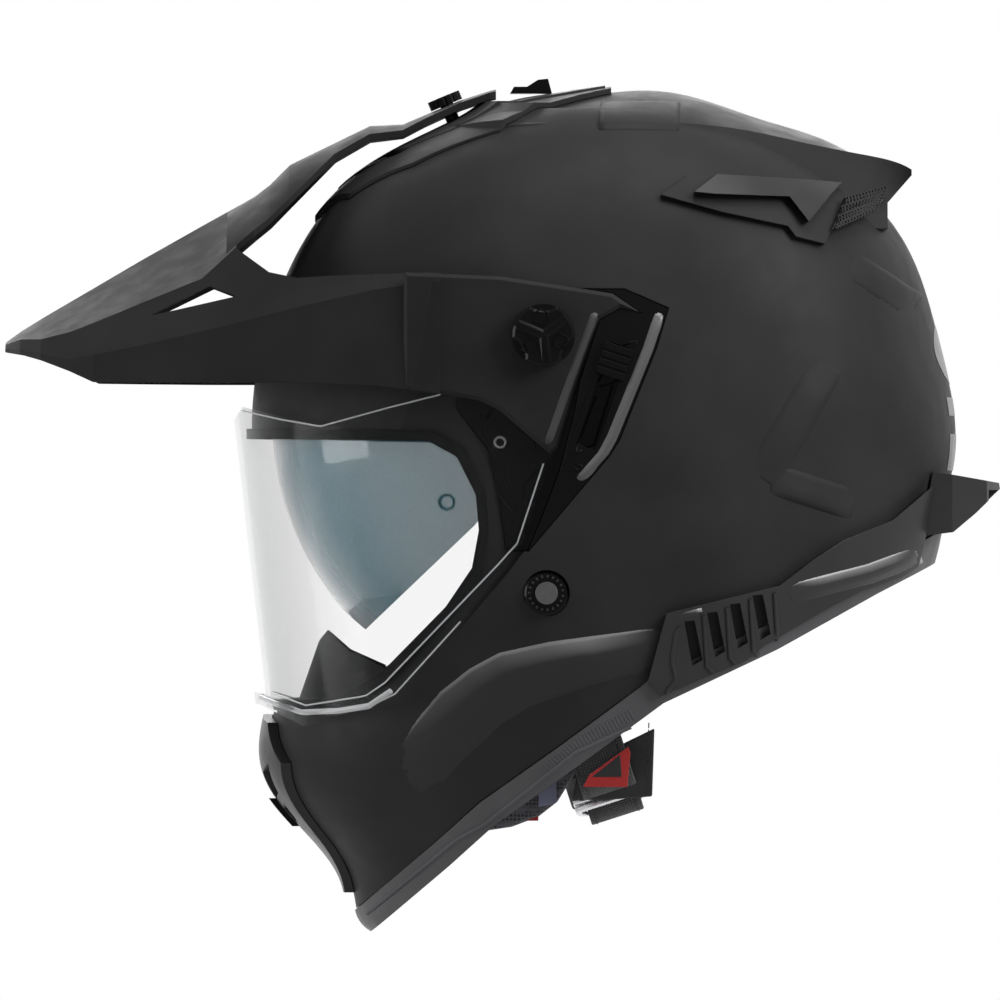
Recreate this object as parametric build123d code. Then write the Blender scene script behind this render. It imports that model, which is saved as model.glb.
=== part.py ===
# Dual-sport motorcycle helmet: a full-face shell with a long bolt-on peak, a clear flip-up visor,
# a drop-down sun visor, vents, liner, pads and a chin strap that closes on two D-rings.
# Millimetres. +X points forward, +Y to the wearer's left, +Z up.
# The origin is the centre of the wearer's head, between the ears.
from build123d import *
import functools
import math
import os

# Driving sizes
DRAWING = 440.0  # side of the square side drawing; side outlines are (forward, up) shares of it
HALF_WIDTH = 127.0  # shell half width at its widest
WALL = 4.0  # shell wall
REACH = 200.0  # half length of the cutting blocks, past both sides of the helmet
SEAT_GAP = 0.3  # gap between a seated piece and what carries it
RUN_GAP = 0.06  # radial clearance of a turning fit
SLIDE_GAP = 0.4  # room on each side of a sliding piece
FAR_SHARE = 0.60  # past the drawing's object on every side
PIVOT = (0.057, 0.163)  # visor and peak turn on this line across the helmet
SUN_PIVOT = (0.040, 0.080)  # the sun visor turns on this line


# Basic forms
def side_point(share, across=0.0):
    return (share[0] * DRAWING, across, share[1] * DRAWING)


def outline_face(outline_shares, grow=0.0, corner=0.0):
    """A side outline as a face in the middle plane."""
    face = Face(Wire.make_polygon([side_point(p) for p in outline_shares], close=True))
    if grow:
        face = offset(face, amount=grow, kind=Kind.INTERSECTION).faces()[0]
    if corner:
        face = face.fillet_2d(corner, face.vertices())
    return face


def prism(outline_shares, low=-REACH, high=REACH, grow=0.0, corner=0.0):
    """The side outline as a block from y = low to y = high."""
    face = Pos(0, low, 0) * outline_face(outline_shares, grow, corner)
    return extrude(face, amount=high - low, dir=(0, 1, 0))


def front_block(outline_shares, back, front):
    """A block seen from the front: its outline is (across, up) shares, from x = back to x = front."""
    points = [(back, y * DRAWING, z * DRAWING) for y, z in outline_shares]
    return extrude(Face(Wire.make_polygon(points, close=True)), amount=front - back, dir=(1, 0, 0))


def plan_block(outline_shares, low, high):
    """A block seen from above: its outline is (forward, across) shares, from z = low to z = high."""
    points = [(x * DRAWING, y * DRAWING, low) for x, y in outline_shares]
    return extrude(Face(Wire.make_polygon(points, close=True)), amount=high - low, dir=(0, 0, 1))


def mirrored(shape):
    return mirror(shape, about=Plane.XZ)


def rod(place, radius, low, high):
    """A round bar along Y at a side point, from y = low to y = high."""
    x, _, z = side_point(place)
    disc = Face(Wire.make_circle(radius, Plane((x, low, z), x_dir=(1, 0, 0), z_dir=(0, 1, 0))))
    return extrude(disc, amount=high - low, dir=(0, 1, 0))


def turned(shape, place, degrees):
    """The shape turned about the Y line through a side point; a positive angle lifts its front."""
    return shape.rotate(Axis(side_point(place), (0, -1, 0)), degrees)


def ring_face(front, rear, half, front_power, rear_power, height, count):
    """An egg-shaped level section with a smooth periodic edge."""
    points = []
    for k in range(2 * count):
        turn = math.pi * k / count
        c = math.cos(turn)
        s = math.sin(turn)
        power = front_power if c >= 0 else rear_power
        long = front if c >= 0 else -rear
        x = long * math.copysign(abs(c) ** (2 / power), c)
        y = half * math.copysign(abs(s) ** (2 / power), s)
        points.append((x, y, height))
    return Face(Wire([Spline(*points, periodic=True)]))


def largest(shape):
    return max(shape.solids(), key=lambda s: s.volume)


# Shell body: level sections from the crown down to the chin, each as
# (height, front reach, rear reach) in shares of DRAWING and the half width as a share of HALF_WIDTH
SHELL_SECTION_SHARES = (
    (0.390, 0.112, -0.110, 0.40),
    (0.365, 0.170, -0.180, 0.57),
    (0.330, 0.232, -0.235, 0.72),
    (0.283, 0.280, -0.287, 0.845),
    (0.232, 0.310, -0.317, 0.921),
    (0.145, 0.3400, -0.3425, 0.981),
    (0.000, 0.352, -0.346, 1.000),
    (-0.100, 0.345, -0.320, 0.976),
    (-0.195, 0.323, -0.270, 0.913),
    (-0.262, 0.330, -0.222, 0.860),
    (-0.300, 0.313, -0.190, 0.811),
    (-0.390, 0.247, -0.120, 0.678),
    (-0.440, 0.205, -0.060, 0.583),
)
SECTION_POINTS = 6  # points on each half of a level section
CURVE_POINTS = 9  # points on each half of a plan curve
FRONT_POWER = 2.1
REAR_POWER = 2.2


@functools.cache
def body(inset):
    """The shell's outer form, moved in by inset all round."""
    rings = []
    for row, (up, front, rear, half) in enumerate(SHELL_SECTION_SHARES):
        sunk = inset if row == 0 else 0
        rings.append(
            ring_face(
                front * DRAWING - inset,
                rear * DRAWING + inset,
                half * HALF_WIDTH - inset,
                FRONT_POWER,
                REAR_POWER,
                up * DRAWING - sunk,
                SECTION_POINTS,
            )
        )
    return loft(rings)


# Raised crown panel that ends in the rear spoiler: frontal sections as (forward, edge height,
# centre height) in shares of DRAWING, half width and flare at the foot in shares of HALF_WIDTH
CROWN_SECTION_SHARES = (
    (0.150, 0.3650, 0.3720, 0.20, 0.17),
    (0.100, 0.3720, 0.3886, 0.43, 0.17),
    (0.050, 0.3745, 0.3985, 0.49, 0.17),
    (0.000, 0.3755, 0.4060, 0.50, 0.17),
    (-0.050, 0.3755, 0.4095, 0.49, 0.17),
    (-0.091, 0.3740, 0.4035, 0.46, 0.17),
    (-0.160, 0.3650, 0.3810, 0.38, 0.17),
    (-0.235, 0.3490, 0.3550, 0.33, 0.13),
    (-0.310, 0.3290, 0.3225, 0.32, 0.03),
)
CROWN_FOOT_SHARE = 0.270  # height where the panel's sides are lost in the body
SPOILER_UNDERCUT_SHARES = (
    (-0.3105, 0.3240),
    (-0.2860, 0.2960),
    (-0.2860, 0.2550),
    (-0.4000, 0.2550),
    (-0.4000, 0.3240),
)


@functools.cache
def crown_panel(inset):
    faces = []
    foot = CROWN_FOOT_SHARE * DRAWING
    for forward, edge, centre, half, flare in CROWN_SECTION_SHARES:
        x = forward * DRAWING
        y = half * HALF_WIDTH - inset
        wide = (half + flare) * HALF_WIDTH - inset
        up = edge * DRAWING - inset
        top = ThreePointArc((x, -y, up), (x, 0, centre * DRAWING - inset), (x, y, up))
        sides = Polyline((x, y, up), (x, wide, foot), (x, -wide, foot), (x, -y, up))
        faces.append(Face(Wire([top, *sides.edges()])))
    return loft(faces) - prism(SPOILER_UNDERCUT_SHARES, grow=inset)


@functools.cache
def outer_form(inset):
    return body(inset) + crown_panel(inset)


def skin(outline_shares, low, high, nearest=0.0, farthest=REACH):
    """The stretch of a layer low to high millimetres over the shell inside a side outline."""
    block = prism(outline_shares, nearest, farthest) & outer_form(-high)
    return block - outer_form(-low)


# Eyeport, rim and the bulge inside the shell that makes room for the visor mechanism
EYEPORT_SHARES = (
    (0.420, 0.062),
    (0.170, 0.058),
    (0.143, 0.043),
    (0.124, 0.005),
    (0.121, -0.030),
    (0.128, -0.068),
    (0.155, -0.108),
    (0.212, -0.166),
    (0.258, -0.196),
    (0.420, -0.204),
)
EYEPORT_CORNER = 3.0
RIM_LINE_SHARES = (
    (0.245, -0.409),
    (0.166, -0.341),
    (0.120, -0.299),
    (0.040, -0.242),
    (-0.047, -0.178),
    (-0.160, -0.125),
    (-0.260, -0.070),
    (-0.360, -0.020),
)
BULGE_SHARES = (
    (0.205, -0.140),
    (0.215, 0.060),
    (0.165, 0.205),
    (0.090, 0.225),
    (-0.085, 0.215),
    (-0.078, 0.150),
    (-0.036, 0.040),
    (0.026, -0.035),
    (0.095, -0.105),
)
POCKET_SHARES = (
    (0.112, 0.050),
    (0.143, 0.090),
    (0.138, 0.150),
    (0.120, 0.190),
    (0.090, 0.209),
    (-0.023, 0.209),
    (-0.067, 0.190),
    (-0.055, 0.150),
    (-0.018, 0.058),
    (-0.0085, 0.0433),
    (0.0715, -0.051),
    (0.094, -0.050),
    (0.101, 0.000),
)
POCKET_FLOOR = 112.0  # distance of the side pocket's floor from the middle plane


def below_rim(drop):
    """Everything under the rim line, lowered by drop square to its run."""
    (x0, z0), (x1, z1) = RIM_LINE_SHARES[0], RIM_LINE_SHARES[-1]
    run = math.hypot(x1 - x0, z1 - z0) * DRAWING
    dx = (z0 - z1) / run * drop
    dz = (x1 - x0) / run * drop
    line = [(x + dx, z + dz) for x, z in RIM_LINE_SHARES]
    front = (FAR_SHARE, line[0][1] - FAR_SHARE / 3)
    back = (-FAR_SHARE, line[-1][1] + FAR_SHARE / 8)
    return prism([front, *line, back, (-FAR_SHARE, -2 * FAR_SHARE), (FAR_SHARE, -2 * FAR_SHARE)])


# Visor: a plan curve swept down a leaning straight line, trimmed to its side outline
VISOR_HALF_WIDTH = 119.0
VISOR_WALL = 2.2
VISOR_NOSE_SHARE = (0.365, 0.070)  # front of the visor at its top
VISOR_CHIN_SHARE = (0.335, -0.190)  # front of the visor at its bottom
VISOR_CHEEK_SHARE = 0.091  # where the plan curve turns into the straight sides
VISOR_POWER = 2.1
VISOR_SEAT_SHARE = 0.26
VISOR_FOOT_SHARE = -0.30
VISOR_TAIL_SHARE = -0.10
VISOR_SHARES = (
    (0.372, 0.070),
    (0.357, 0.093),
    (0.278, 0.073),
    (0.160, 0.105),
    (0.110, 0.160),
    (0.082, 0.188),
    (0.057, 0.195),
    (0.033, 0.186),
    (0.024, 0.160),
    (0.030, 0.118),
    (0.044, 0.060),
    (0.052, 0.035),
    (0.079, -0.047),
    (0.097, -0.071),
    (0.197, -0.188),
    (0.226, -0.208),
    (0.297, -0.219),
    (0.345, -0.199),
)
LIP_SHARES = (
    (0.365, -0.186),
    (0.365, -0.199),
    (0.338, -0.2045),
    (0.297, -0.2245),
    (0.226, -0.2130),
    (0.205, -0.1960),
    (0.207, -0.1900),
    (0.228, -0.2030),
    (0.297, -0.2130),
    (0.338, -0.1940),
)
LIP_REACH = 5.0  # how far the lifting lip stands out of the lens
LIP_HALF_WIDTH = 74.0
RECESS_GAP = 2.0  # room round and under the visor in the shell
BOSS_RADIUS = 7.0  # turning boss under the visor's arm
KNOB_SCREW_RADIUS = 3.0


def leaning_block(nose, chin, cheek, half, power, top, foot, tail, inset):
    """A U-shaped plan, moved in by inset, swept down the line from nose to chin."""
    lean = (nose[0] - chin[0]) / (nose[1] - chin[1])
    shift = (top - nose[1]) * lean
    middle = (cheek + shift) * DRAWING
    long = (nose[0] - cheek) * DRAWING - inset
    side = half - inset
    up = top * DRAWING
    points = []
    for k in range(CURVE_POINTS + 1):
        turn = math.pi / 2 * k / CURVE_POINTS
        points.append((
            middle + long * math.cos(turn) ** (2 / power),
            side * math.sin(turn) ** (2 / power),
            up,
        ))
    left = Spline(*points, tangents=[(0, 1, 0), (-1, 0, 0)])
    back = (tail + shift) * DRAWING
    sides = Polyline(points[-1], (back, side, up), (back, -side, up), (points[-1][0], -side, up))
    right = left.edge().mirror(Plane.XZ)
    face = Face(Wire([left.edge(), right, *sides.edges()]))
    drop = (top - foot) * DRAWING * math.hypot(1, lean)
    return extrude(face, amount=drop, dir=(-lean, 0, -1))


@functools.cache
def visor_block(inset):
    return leaning_block(VISOR_NOSE_SHARE, VISOR_CHIN_SHARE, VISOR_CHEEK_SHARE, VISOR_HALF_WIDTH,
                         VISOR_POWER, VISOR_SEAT_SHARE, VISOR_FOOT_SHARE, VISOR_TAIL_SHARE, inset)


def make_visor():
    lens = (visor_block(0) - visor_block(VISOR_WALL)) & prism(VISOR_SHARES)
    lip = (visor_block(-LIP_REACH) - visor_block(0)) & prism(LIP_SHARES, -LIP_HALF_WIDTH, LIP_HALF_WIDTH)
    visor = lens + lip
    visor -= rod(PIVOT, BOSS_RADIUS + RUN_GAP, -REACH, REACH)
    visor -= rod(VISOR_PIN, VISOR_PIN_RADIUS + RUN_GAP, -REACH, REACH)
    return largest(visor)


# Pins that carry the anti-fog lens
VISOR_PIN = (0.153, -0.002)
VISOR_PIN_RADIUS = 2.5
VISOR_PIN_HEAD_RADIUS = 3.7
VISOR_PIN_HEAD = 1.0


def make_visor_pin():
    """A shouldered pin set in the left of the visor."""
    plate = visor_block(-VISOR_PIN_HEAD) & rod(VISOR_PIN, VISOR_PIN_HEAD_RADIUS, 0, REACH)
    head = plate - visor_block(0)
    stem = (visor_block(0) & rod(VISOR_PIN, VISOR_PIN_RADIUS, 0, REACH)) - visor_block(VISOR_WALL)
    return largest(head + stem)


# Strap anchors
ANCHOR = (0.054, -0.092)
WASHER_RADIUS = 9.7
WASHER_HEIGHT = 3.0
ANCHOR_SEAT = 121.4  # distance of the washer's seat from the middle plane
RIVET_HEAD_RADIUS = 4.9
RIVET_HEAD = 1.2
RIVET_RADIUS = 2.5
RIVET_TAIL = 2.0
STRAP_WALL = 2.0

# Vent passages through the shell
CROWN_PASSAGE_SHARES = ((0.215, -0.03), (0.215, 0.03), (0.180, 0.03), (0.180, -0.03))
CHIN_PASSAGE_SHARES = ((-0.058, -0.282), (0.058, -0.282), (0.050, -0.322), (-0.050, -0.322))


def make_shell():
    seat = prism(VISOR_SHARES, grow=RECESS_GAP) - visor_block(VISOR_WALL + RECESS_GAP)
    pocket = prism(POCKET_SHARES, POCKET_FLOOR, REACH)
    anchor = rod(ANCHOR, WASHER_RADIUS + SEAT_GAP, ANCHOR_SEAT, REACH)
    form = outer_form(0) - [
        seat,
        pocket,
        mirrored(pocket),
        prism(EYEPORT_SHARES, corner=EYEPORT_CORNER),
        below_rim(0),
        anchor,
        mirrored(anchor),
    ]
    shell = form - cavity(WALL)
    shell -= [
        rod(ANCHOR, RIVET_RADIUS + RUN_GAP, -REACH, REACH),
        rod(PIVOT, KNOB_SCREW_RADIUS + RUN_GAP, -REACH, REACH),
        screw_hole(),
        plan_block(CROWN_PASSAGE_SHARES, 0, REACH),
        front_block(CHIN_PASSAGE_SHARES, 0, REACH),
    ]
    return largest(shell)


@functools.cache
def cavity(inset):
    """The room inside the shell, inset from its outer face, less the bulges at the sides."""
    bulge = prism(BULGE_SHARES, POCKET_FLOOR - inset, REACH, grow=inset - WALL)
    return body(inset) - [bulge, mirrored(bulge)]


# Rubber rim trim
TRIM_DEPTH = 12.0
TRIM_PROUD = 0.8


def make_base_trim():
    band = below_rim(SEAT_GAP) - below_rim(TRIM_DEPTH)
    return largest((band & body(-TRIM_PROUD)) - body(WALL))


# Rubber seal round the eyeport, pinched between shell and visor
SEAL_WIDTH = 4.5
SEAL_HEIGHT = 2.4


def make_seal():
    ring = prism(EYEPORT_SHARES, grow=SEAL_WIDTH) - prism(EYEPORT_SHARES, corner=EYEPORT_CORNER)
    form = ring & body(-SEAL_HEIGHT) & visor_block(VISOR_WALL + 2 * SEAT_GAP)
    return largest(form - (body(-SEAT_GAP) & visor_block(VISOR_WALL + RECESS_GAP - SEAT_GAP)))


# Peak: frontal sections as (forward) and (up) shares of DRAWING and (across) shares of HALF_WIDTH:
# forward, spine up, plate edge across and up, crease across and up, rim across and up
PEAK_SECTION_SHARES = (
    (0.594, 0.1575, 0.090, 0.1550, 0.125, 0.1510, 0.134, 0.1475),
    (0.578, 0.1690, 0.240, 0.1600, 0.290, 0.1500, 0.307, 0.1450),
    (0.557, 0.1820, 0.360, 0.1600, 0.420, 0.1455, 0.440, 0.1390),
    (0.528, 0.1990, 0.430, 0.1670, 0.520, 0.1400, 0.543, 0.1280),
    (0.504, 0.2130, 0.460, 0.1760, 0.580, 0.1440, 0.606, 0.1170),
    (0.458, 0.2400, 0.500, 0.1950, 0.645, 0.1530, 0.677, 0.1165),
    (0.396, 0.2750, 0.530, 0.2200, 0.710, 0.1670, 0.748, 0.1160),
    (0.359, 0.2955, 0.530, 0.2540, 0.745, 0.1760, 0.783, 0.1160),
    (0.300, 0.3300, 0.550, 0.2850, 0.820, 0.1910, 0.856, 0.1160),
    (0.224, 0.3300, 0.620, 0.2850, 0.918, 0.2080, 0.945, 0.1130),
    (0.159, 0.3300, 0.680, 0.2850, 0.975, 0.2170, 0.987, 0.1050),
)
PEAK_WALL = 3.2
PEAK_OPEN = 12.0  # how far the hollow reaches below the rim
PEAK_NOTCH_SHARES = (
    (0.362, 0.2500),
    (0.329, 0.2260),
    (0.301, 0.2200),
    (0.270, 0.2220),
    (0.170, 0.2250),
    (0.100, 0.2210),
    (0.100, 0.4500),
    (0.352, 0.4500),
)
PEAK_WINDOW_SHARES = ((0.447, 0.183), (0.388, 0.212), (0.362, 0.202))
PEAK_ARM_SHARES = (
    (0.195, 0.1080),
    (0.170, 0.1060),
    (0.145, 0.1030),
    (0.120, 0.0980),
    (0.100, 0.0880),
    (0.060, 0.0530),
    (0.050, 0.0450),
    (0.043, 0.0500),
    (0.002, 0.1780),
    (-0.019, 0.1900),
    (-0.039, 0.1850),
    (-0.011, 0.2040),
    (0.040, 0.2120),
    (0.100, 0.2210),
    (0.195, 0.2250),
)
PEAK_ARM_INNER = 119.8  # distance of the arm's inner face from the middle plane
PEAK_BEVEL = 1.6
# Tongue: forward, centre up, edge up as shares of DRAWING, half width as a share of HALF_WIDTH
TONGUE_SECTION_SHARES = (
    (0.372, 0.2880, 0.2450, 0.50),
    (0.345, 0.3035, 0.2680, 0.50),
    (0.330, 0.3150, 0.2800, 0.46),
    (0.310, 0.3350, 0.3000, 0.38),
    (0.265, 0.3570, 0.3450, 0.25),
    (0.230, 0.3740, 0.3650, 0.21),
    (0.197, 0.3755, 0.3690, 0.19),
    (0.176, 0.3845, 0.3800, 0.18),
    (0.140, 0.3995, 0.3965, 0.165),
    (0.109, 0.4095, 0.4070, 0.15),
    (0.104, 0.4105, 0.4080, 0.14),
)


def peak_loft(wall):
    rows = []
    for row, (x, spine, ye, ze, yc, zc, yr, zr) in enumerate(PEAK_SECTION_SHARES):
        back = wall if row == 0 else 0
        forward = x * DRAWING - back
        drop = PEAK_OPEN if wall else 0
        half = [
            (yr * HALF_WIDTH - wall, zr * DRAWING - drop),
            (yc * HALF_WIDTH - wall, zc * DRAWING - wall / 3),
            (ye * HALF_WIDTH - wall / 3, ze * DRAWING - wall),
        ]
        points = [(forward, y, z) for y, z in half]
        points.append((forward, 0, spine * DRAWING - wall))
        points += [(forward, -y, z) for y, z in reversed(half)]
        rows.append(Face(Wire.make_polygon(points, close=True)))
    return loft(rows, ruled=True)


def make_peak():
    blade = peak_loft(0) - peak_loft(PEAK_WALL)
    blade -= [prism(PEAK_NOTCH_SHARES), prism(PEAK_WINDOW_SHARES)]
    tongue_rows = []
    for forward, centre, edge, half in TONGUE_SECTION_SHARES:
        x = forward * DRAWING
        y = half * HALF_WIDTH
        low = edge * DRAWING - PEAK_WALL
        top = ThreePointArc((x, -y, edge * DRAWING), (x, 0, centre * DRAWING), (x, y, edge * DRAWING))
        foot = ThreePointArc((x, -y, low), (x, 0, centre * DRAWING - PEAK_WALL), (x, y, low))
        sides = [Line(top @ 0, foot @ 0), Line(top @ 1, foot @ 1)]
        tongue_rows.append(Face(Wire([top, foot, *sides])))
    tongue = loft(tongue_rows, ruled=True)
    arm = prism(PEAK_ARM_SHARES, PEAK_ARM_INNER, PEAK_ARM_INNER + PEAK_WALL)
    rim = arm.faces().sort_by(Axis.Y)[-1]
    arm = chamfer(rim.edges(), PEAK_BEVEL)
    peak = blade + [tongue, arm, mirrored(arm)]
    peak -= rod(PIVOT, KNOB_SCREW_RADIUS + RUN_GAP, -REACH, REACH)
    peak -= screw_hole()
    return largest(peak)


# Peak knobs: three-lobed heads on screws that reach into the mechanism plates
KNOB_RADIUS = 13.6
KNOB_LOBES = 3
KNOB_HEIGHT = 9.0
KNOB_SCOOP_RADIUS = 9.0
KNOB_SCOOP_REACH = 19.5
KNOB_EDGE = 1.2
KNOB_SCREW_END = 105.0


def make_knob():
    foot = PEAK_ARM_INNER + PEAK_WALL + SEAT_GAP
    head = rod(PIVOT, KNOB_RADIUS, foot, foot + KNOB_HEIGHT)
    x, _, z = side_point(PIVOT)
    for lobe in range(KNOB_LOBES):
        turn = 2 * math.pi * lobe / KNOB_LOBES + math.pi / 2
        place = (
            PIVOT[0] + KNOB_SCOOP_REACH * math.cos(turn) / DRAWING,
            PIVOT[1] + KNOB_SCOOP_REACH * math.sin(turn) / DRAWING,
        )
        head -= rod(place, KNOB_SCOOP_RADIUS, foot + KNOB_EDGE, REACH)
    rim = head.faces().sort_by(Axis.Y)[-1]
    head = chamfer(rim.edges(), KNOB_EDGE)
    return largest(head + rod(PIVOT, KNOB_SCREW_RADIUS, KNOB_SCREW_END, foot))


# Knurled screw that holds the peak's tongue to the crown
SCREW_PLACE = (0.153, 0.3943)
SCREW_LEAN_DEG = 22.6
SCREW_RADIUS = 3.0
SCREW_HEAD_RADIUS = 7.5
SCREW_HEAD = 4.0
SCREW_LENGTH = 13.0
SCREW_GROOVES = 12
SCREW_GROOVE_RADIUS = 0.8


def screw_plane():
    lean = math.radians(SCREW_LEAN_DEG)
    normal = (math.sin(lean), 0, math.cos(lean))
    return Plane(side_point(SCREW_PLACE), x_dir=(0, 1, 0), z_dir=normal)


def screw_hole():
    return screw_plane() * Cylinder(SCREW_RADIUS + RUN_GAP, 2 * SCREW_LENGTH)


def make_screw():
    head = Pos(0, 0, SEAT_GAP + SCREW_HEAD / 2) * Cylinder(SCREW_HEAD_RADIUS, SCREW_HEAD)
    for groove in range(SCREW_GROOVES):
        cut = Pos(SCREW_HEAD_RADIUS, 0, SCREW_HEAD / 2) * Cylinder(SCREW_GROOVE_RADIUS, 2 * SCREW_HEAD)
        head -= Rot(0, 0, 360 * groove / SCREW_GROOVES) * cut
    stem = Pos(0, 0, (SEAT_GAP - SCREW_LENGTH) / 2) * Cylinder(SCREW_RADIUS, SCREW_LENGTH + SEAT_GAP)
    return screw_plane() * largest(head + stem)


# Side plates in the pocket: a flat mechanism plate under the visor's arm, and a cover behind it
PLATE_TOP = 116.0  # distance of the mechanism plate's face from the middle plane
BOSS_TOP = 119.3
PLATE_CLEAR = 0.8  # room between the plate and the visor's inner face
PLATE_BACK_SHARES = (
    (0.017, 0.300),
    (0.017, 0.140),
    (0.027, 0.085),
    (0.041, 0.030),
    (0.066, -0.035),
    (0.090, -0.090),
    (0.300, -0.090),
    (0.300, 0.300),
)
COVER_INSET = 0.4  # how far the cover's face lies under the shell's
SLOT_START_SHARE = (-0.0185, 0.1530)
SLOT_END_SHARE = (0.0148, 0.0520)
SLOT_WIDTH = 9.0
SLOT_FLOOR = 118.0
SLIDER_LENGTH = 14.0
SLIDER_HEAD_WIDTH = 13.0
SLIDER_PROUD = 3.0
SLIDER_LIFT = 0.9  # room under the slider's head
SLIDER_RIDGES = 4
SLIDER_RIDGE = 1.0


def make_mechanism_plate():
    zone = prism(PLATE_BACK_SHARES, POCKET_FLOOR + SEAT_GAP, PLATE_TOP)
    plate = prism(POCKET_SHARES, POCKET_FLOOR + SEAT_GAP, PLATE_TOP, grow=-SEAT_GAP) & zone
    plate &= visor_block(VISOR_WALL + PLATE_CLEAR)
    plate += rod(PIVOT, BOSS_RADIUS, PLATE_TOP, BOSS_TOP)
    plate -= rod(PIVOT, KNOB_SCREW_RADIUS + RUN_GAP, 0, REACH)
    return largest(plate)


def slot_outline(start, length, width):
    """Corners of a strip along the slider's way, from start millimetres on, in shares."""
    (x0, z0), (x1, z1) = SLOT_START_SHARE, SLOT_END_SHARE
    run = math.hypot(x1 - x0, z1 - z0)
    tx, tz = (x1 - x0) / run, (z1 - z0) / run
    corners = []
    for along, side in ((start, 1), (start, -1), (start + length, -1), (start + length, 1)):
        a = along / DRAWING
        b = side * width / 2 / DRAWING
        corners.append((x0 + tx * a - tz * b, z0 + tz * a + tx * b))
    return corners


def slot_length():
    (x0, z0), (x1, z1) = SLOT_START_SHARE, SLOT_END_SHARE
    return math.hypot(x1 - x0, z1 - z0) * DRAWING


def make_side_cover(slotted):
    block = prism(POCKET_SHARES, POCKET_FLOOR + SEAT_GAP, REACH, grow=-SEAT_GAP) & body(COVER_INSET)
    arm = prism(PEAK_ARM_SHARES, PEAK_ARM_INNER - SEAT_GAP, REACH, grow=SEAT_GAP)
    block -= [prism(PLATE_BACK_SHARES, 0, REACH, grow=SEAT_GAP), arm]
    if slotted:
        block -= prism(slot_outline(0, slot_length(), SLOT_WIDTH), SLOT_FLOOR, REACH)
    return largest(block)


def make_slider():
    """A thumb slider: a foot in the slot and a ridged head over the cover."""
    foot = prism(slot_outline(SLIDE_GAP, SLIDER_LENGTH, SLOT_WIDTH - 2 * SLIDE_GAP), SLOT_FLOOR + SLIDE_GAP, REACH)
    head = prism(slot_outline(SLIDE_GAP, SLIDER_LENGTH, SLIDER_HEAD_WIDTH), SLOT_FLOOR, REACH)
    face = body(-SLIDER_PROUD)
    slider = (foot & face) + ((head & face) - body(COVER_INSET - SLIDER_LIFT))
    pitch = SLIDER_LENGTH / SLIDER_RIDGES
    for ridge in range(1, SLIDER_RIDGES):
        groove = slot_outline(SLIDE_GAP + pitch * ridge - SLIDER_RIDGE / 2, SLIDER_RIDGE, 2 * SLIDER_HEAD_WIDTH)
        slider -= prism(groove, 0, REACH) - body(SLIDER_RIDGE - SLIDER_PROUD)
    return largest(slider)


# Sun visor: a lens turned about its pivot line, behind the eyeport's brow
SUN_REACH = 126.7  # radius of the lens in the middle plane
SUN_HALF_WIDTH = 105.5
SUN_WALL = 2.2
SUN_POWER = 2.1
SUN_ROOM = 2.5  # free room on both sides of the lens in the liner
SUN_SHARES = (
    (0.355, 0.078),
    (0.355, -0.010),
    (0.310, -0.0430),
    (0.308, -0.1300),
    (0.237, -0.1320),
    (0.125, -0.0250),
    (0.058, 0.0620),
    (0.052, 0.0700),
    (0.028, 0.0660),
    (0.026, 0.0930),
    (0.060, 0.0980),
    (0.180, 0.0900),
)
SUN_PIN_RADIUS = 3.0
SUN_PIN_HEAD_RADIUS = 5.0
SUN_PIN_HEAD = 1.2
SUN_OPEN_DEG = 43.0
SUN_SWEEP_STEPS = 4
NOSE_NOTCH_RADIUS = 18.0
NOSE_NOTCH_CENTRE = (0.270, -0.150)


@functools.cache
def sun_form(inset):
    """The solid of revolution whose skin is the sun visor's outer face, moved in by inset."""
    points = []
    for k in range(CURVE_POINTS + 1):
        turn = math.pi / 2 * k / CURVE_POINTS
        r = (SUN_REACH - inset) * math.cos(turn) ** (2 / SUN_POWER)
        y = (SUN_HALF_WIDTH - inset) * math.sin(turn) ** (2 / SUN_POWER)
        points.append((r, y))
    upper = Spline(*points, tangents=[(0, 1), (-1, 0)])
    lower = Spline(*[(r, -y) for r, y in reversed(points)], tangents=[(1, 0), (0, 1)])
    spine = Line(lower @ 0, upper @ 1)
    face = Face(Wire([lower, upper, spine]))
    turned_form = revolve(face, Axis.Y, 360)
    return Pos(*side_point(SUN_PIVOT)) * turned_form


def make_sun_visor():
    lens = (sun_form(0) - sun_form(SUN_WALL)) & prism(SUN_SHARES)
    x, _, z = side_point(NOSE_NOTCH_CENTRE)
    notch = Plane((0, 0, z), x_dir=(0, 1, 0), z_dir=(1, 0, 0)) * Cylinder(NOSE_NOTCH_RADIUS, 2 * REACH)
    lens -= notch
    lens -= rod(SUN_PIVOT, SUN_PIN_RADIUS + RUN_GAP, -REACH, REACH)
    return largest(lens)


def make_sun_pin():
    wall = POCKET_FLOOR - WALL - SEAT_GAP
    stem = rod(SUN_PIVOT, SUN_PIN_RADIUS, SUN_HALF_WIDTH - SUN_WALL - SEAT_GAP, wall)
    head_top = SUN_HALF_WIDTH - SUN_WALL - SEAT_GAP
    head = rod(SUN_PIVOT, SUN_PIN_HEAD_RADIUS, head_top - SUN_PIN_HEAD, head_top)
    collar = rod(SUN_PIVOT, SUN_PIN_HEAD_RADIUS, SUN_HALF_WIDTH + SEAT_GAP, wall)
    return stem + head + collar


def sun_room():
    """The room in the liner that the sun visor swings through."""
    fan = prism(SUN_SHARES, grow=SUN_ROOM)
    cut = fan
    for step in range(1, SUN_SWEEP_STEPS + 1):
        cut += turned(fan, SUN_PIVOT, SUN_OPEN_DEG * step / SUN_SWEEP_STEPS)
    return cut - sun_form(SUN_WALL + SUN_ROOM)


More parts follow.
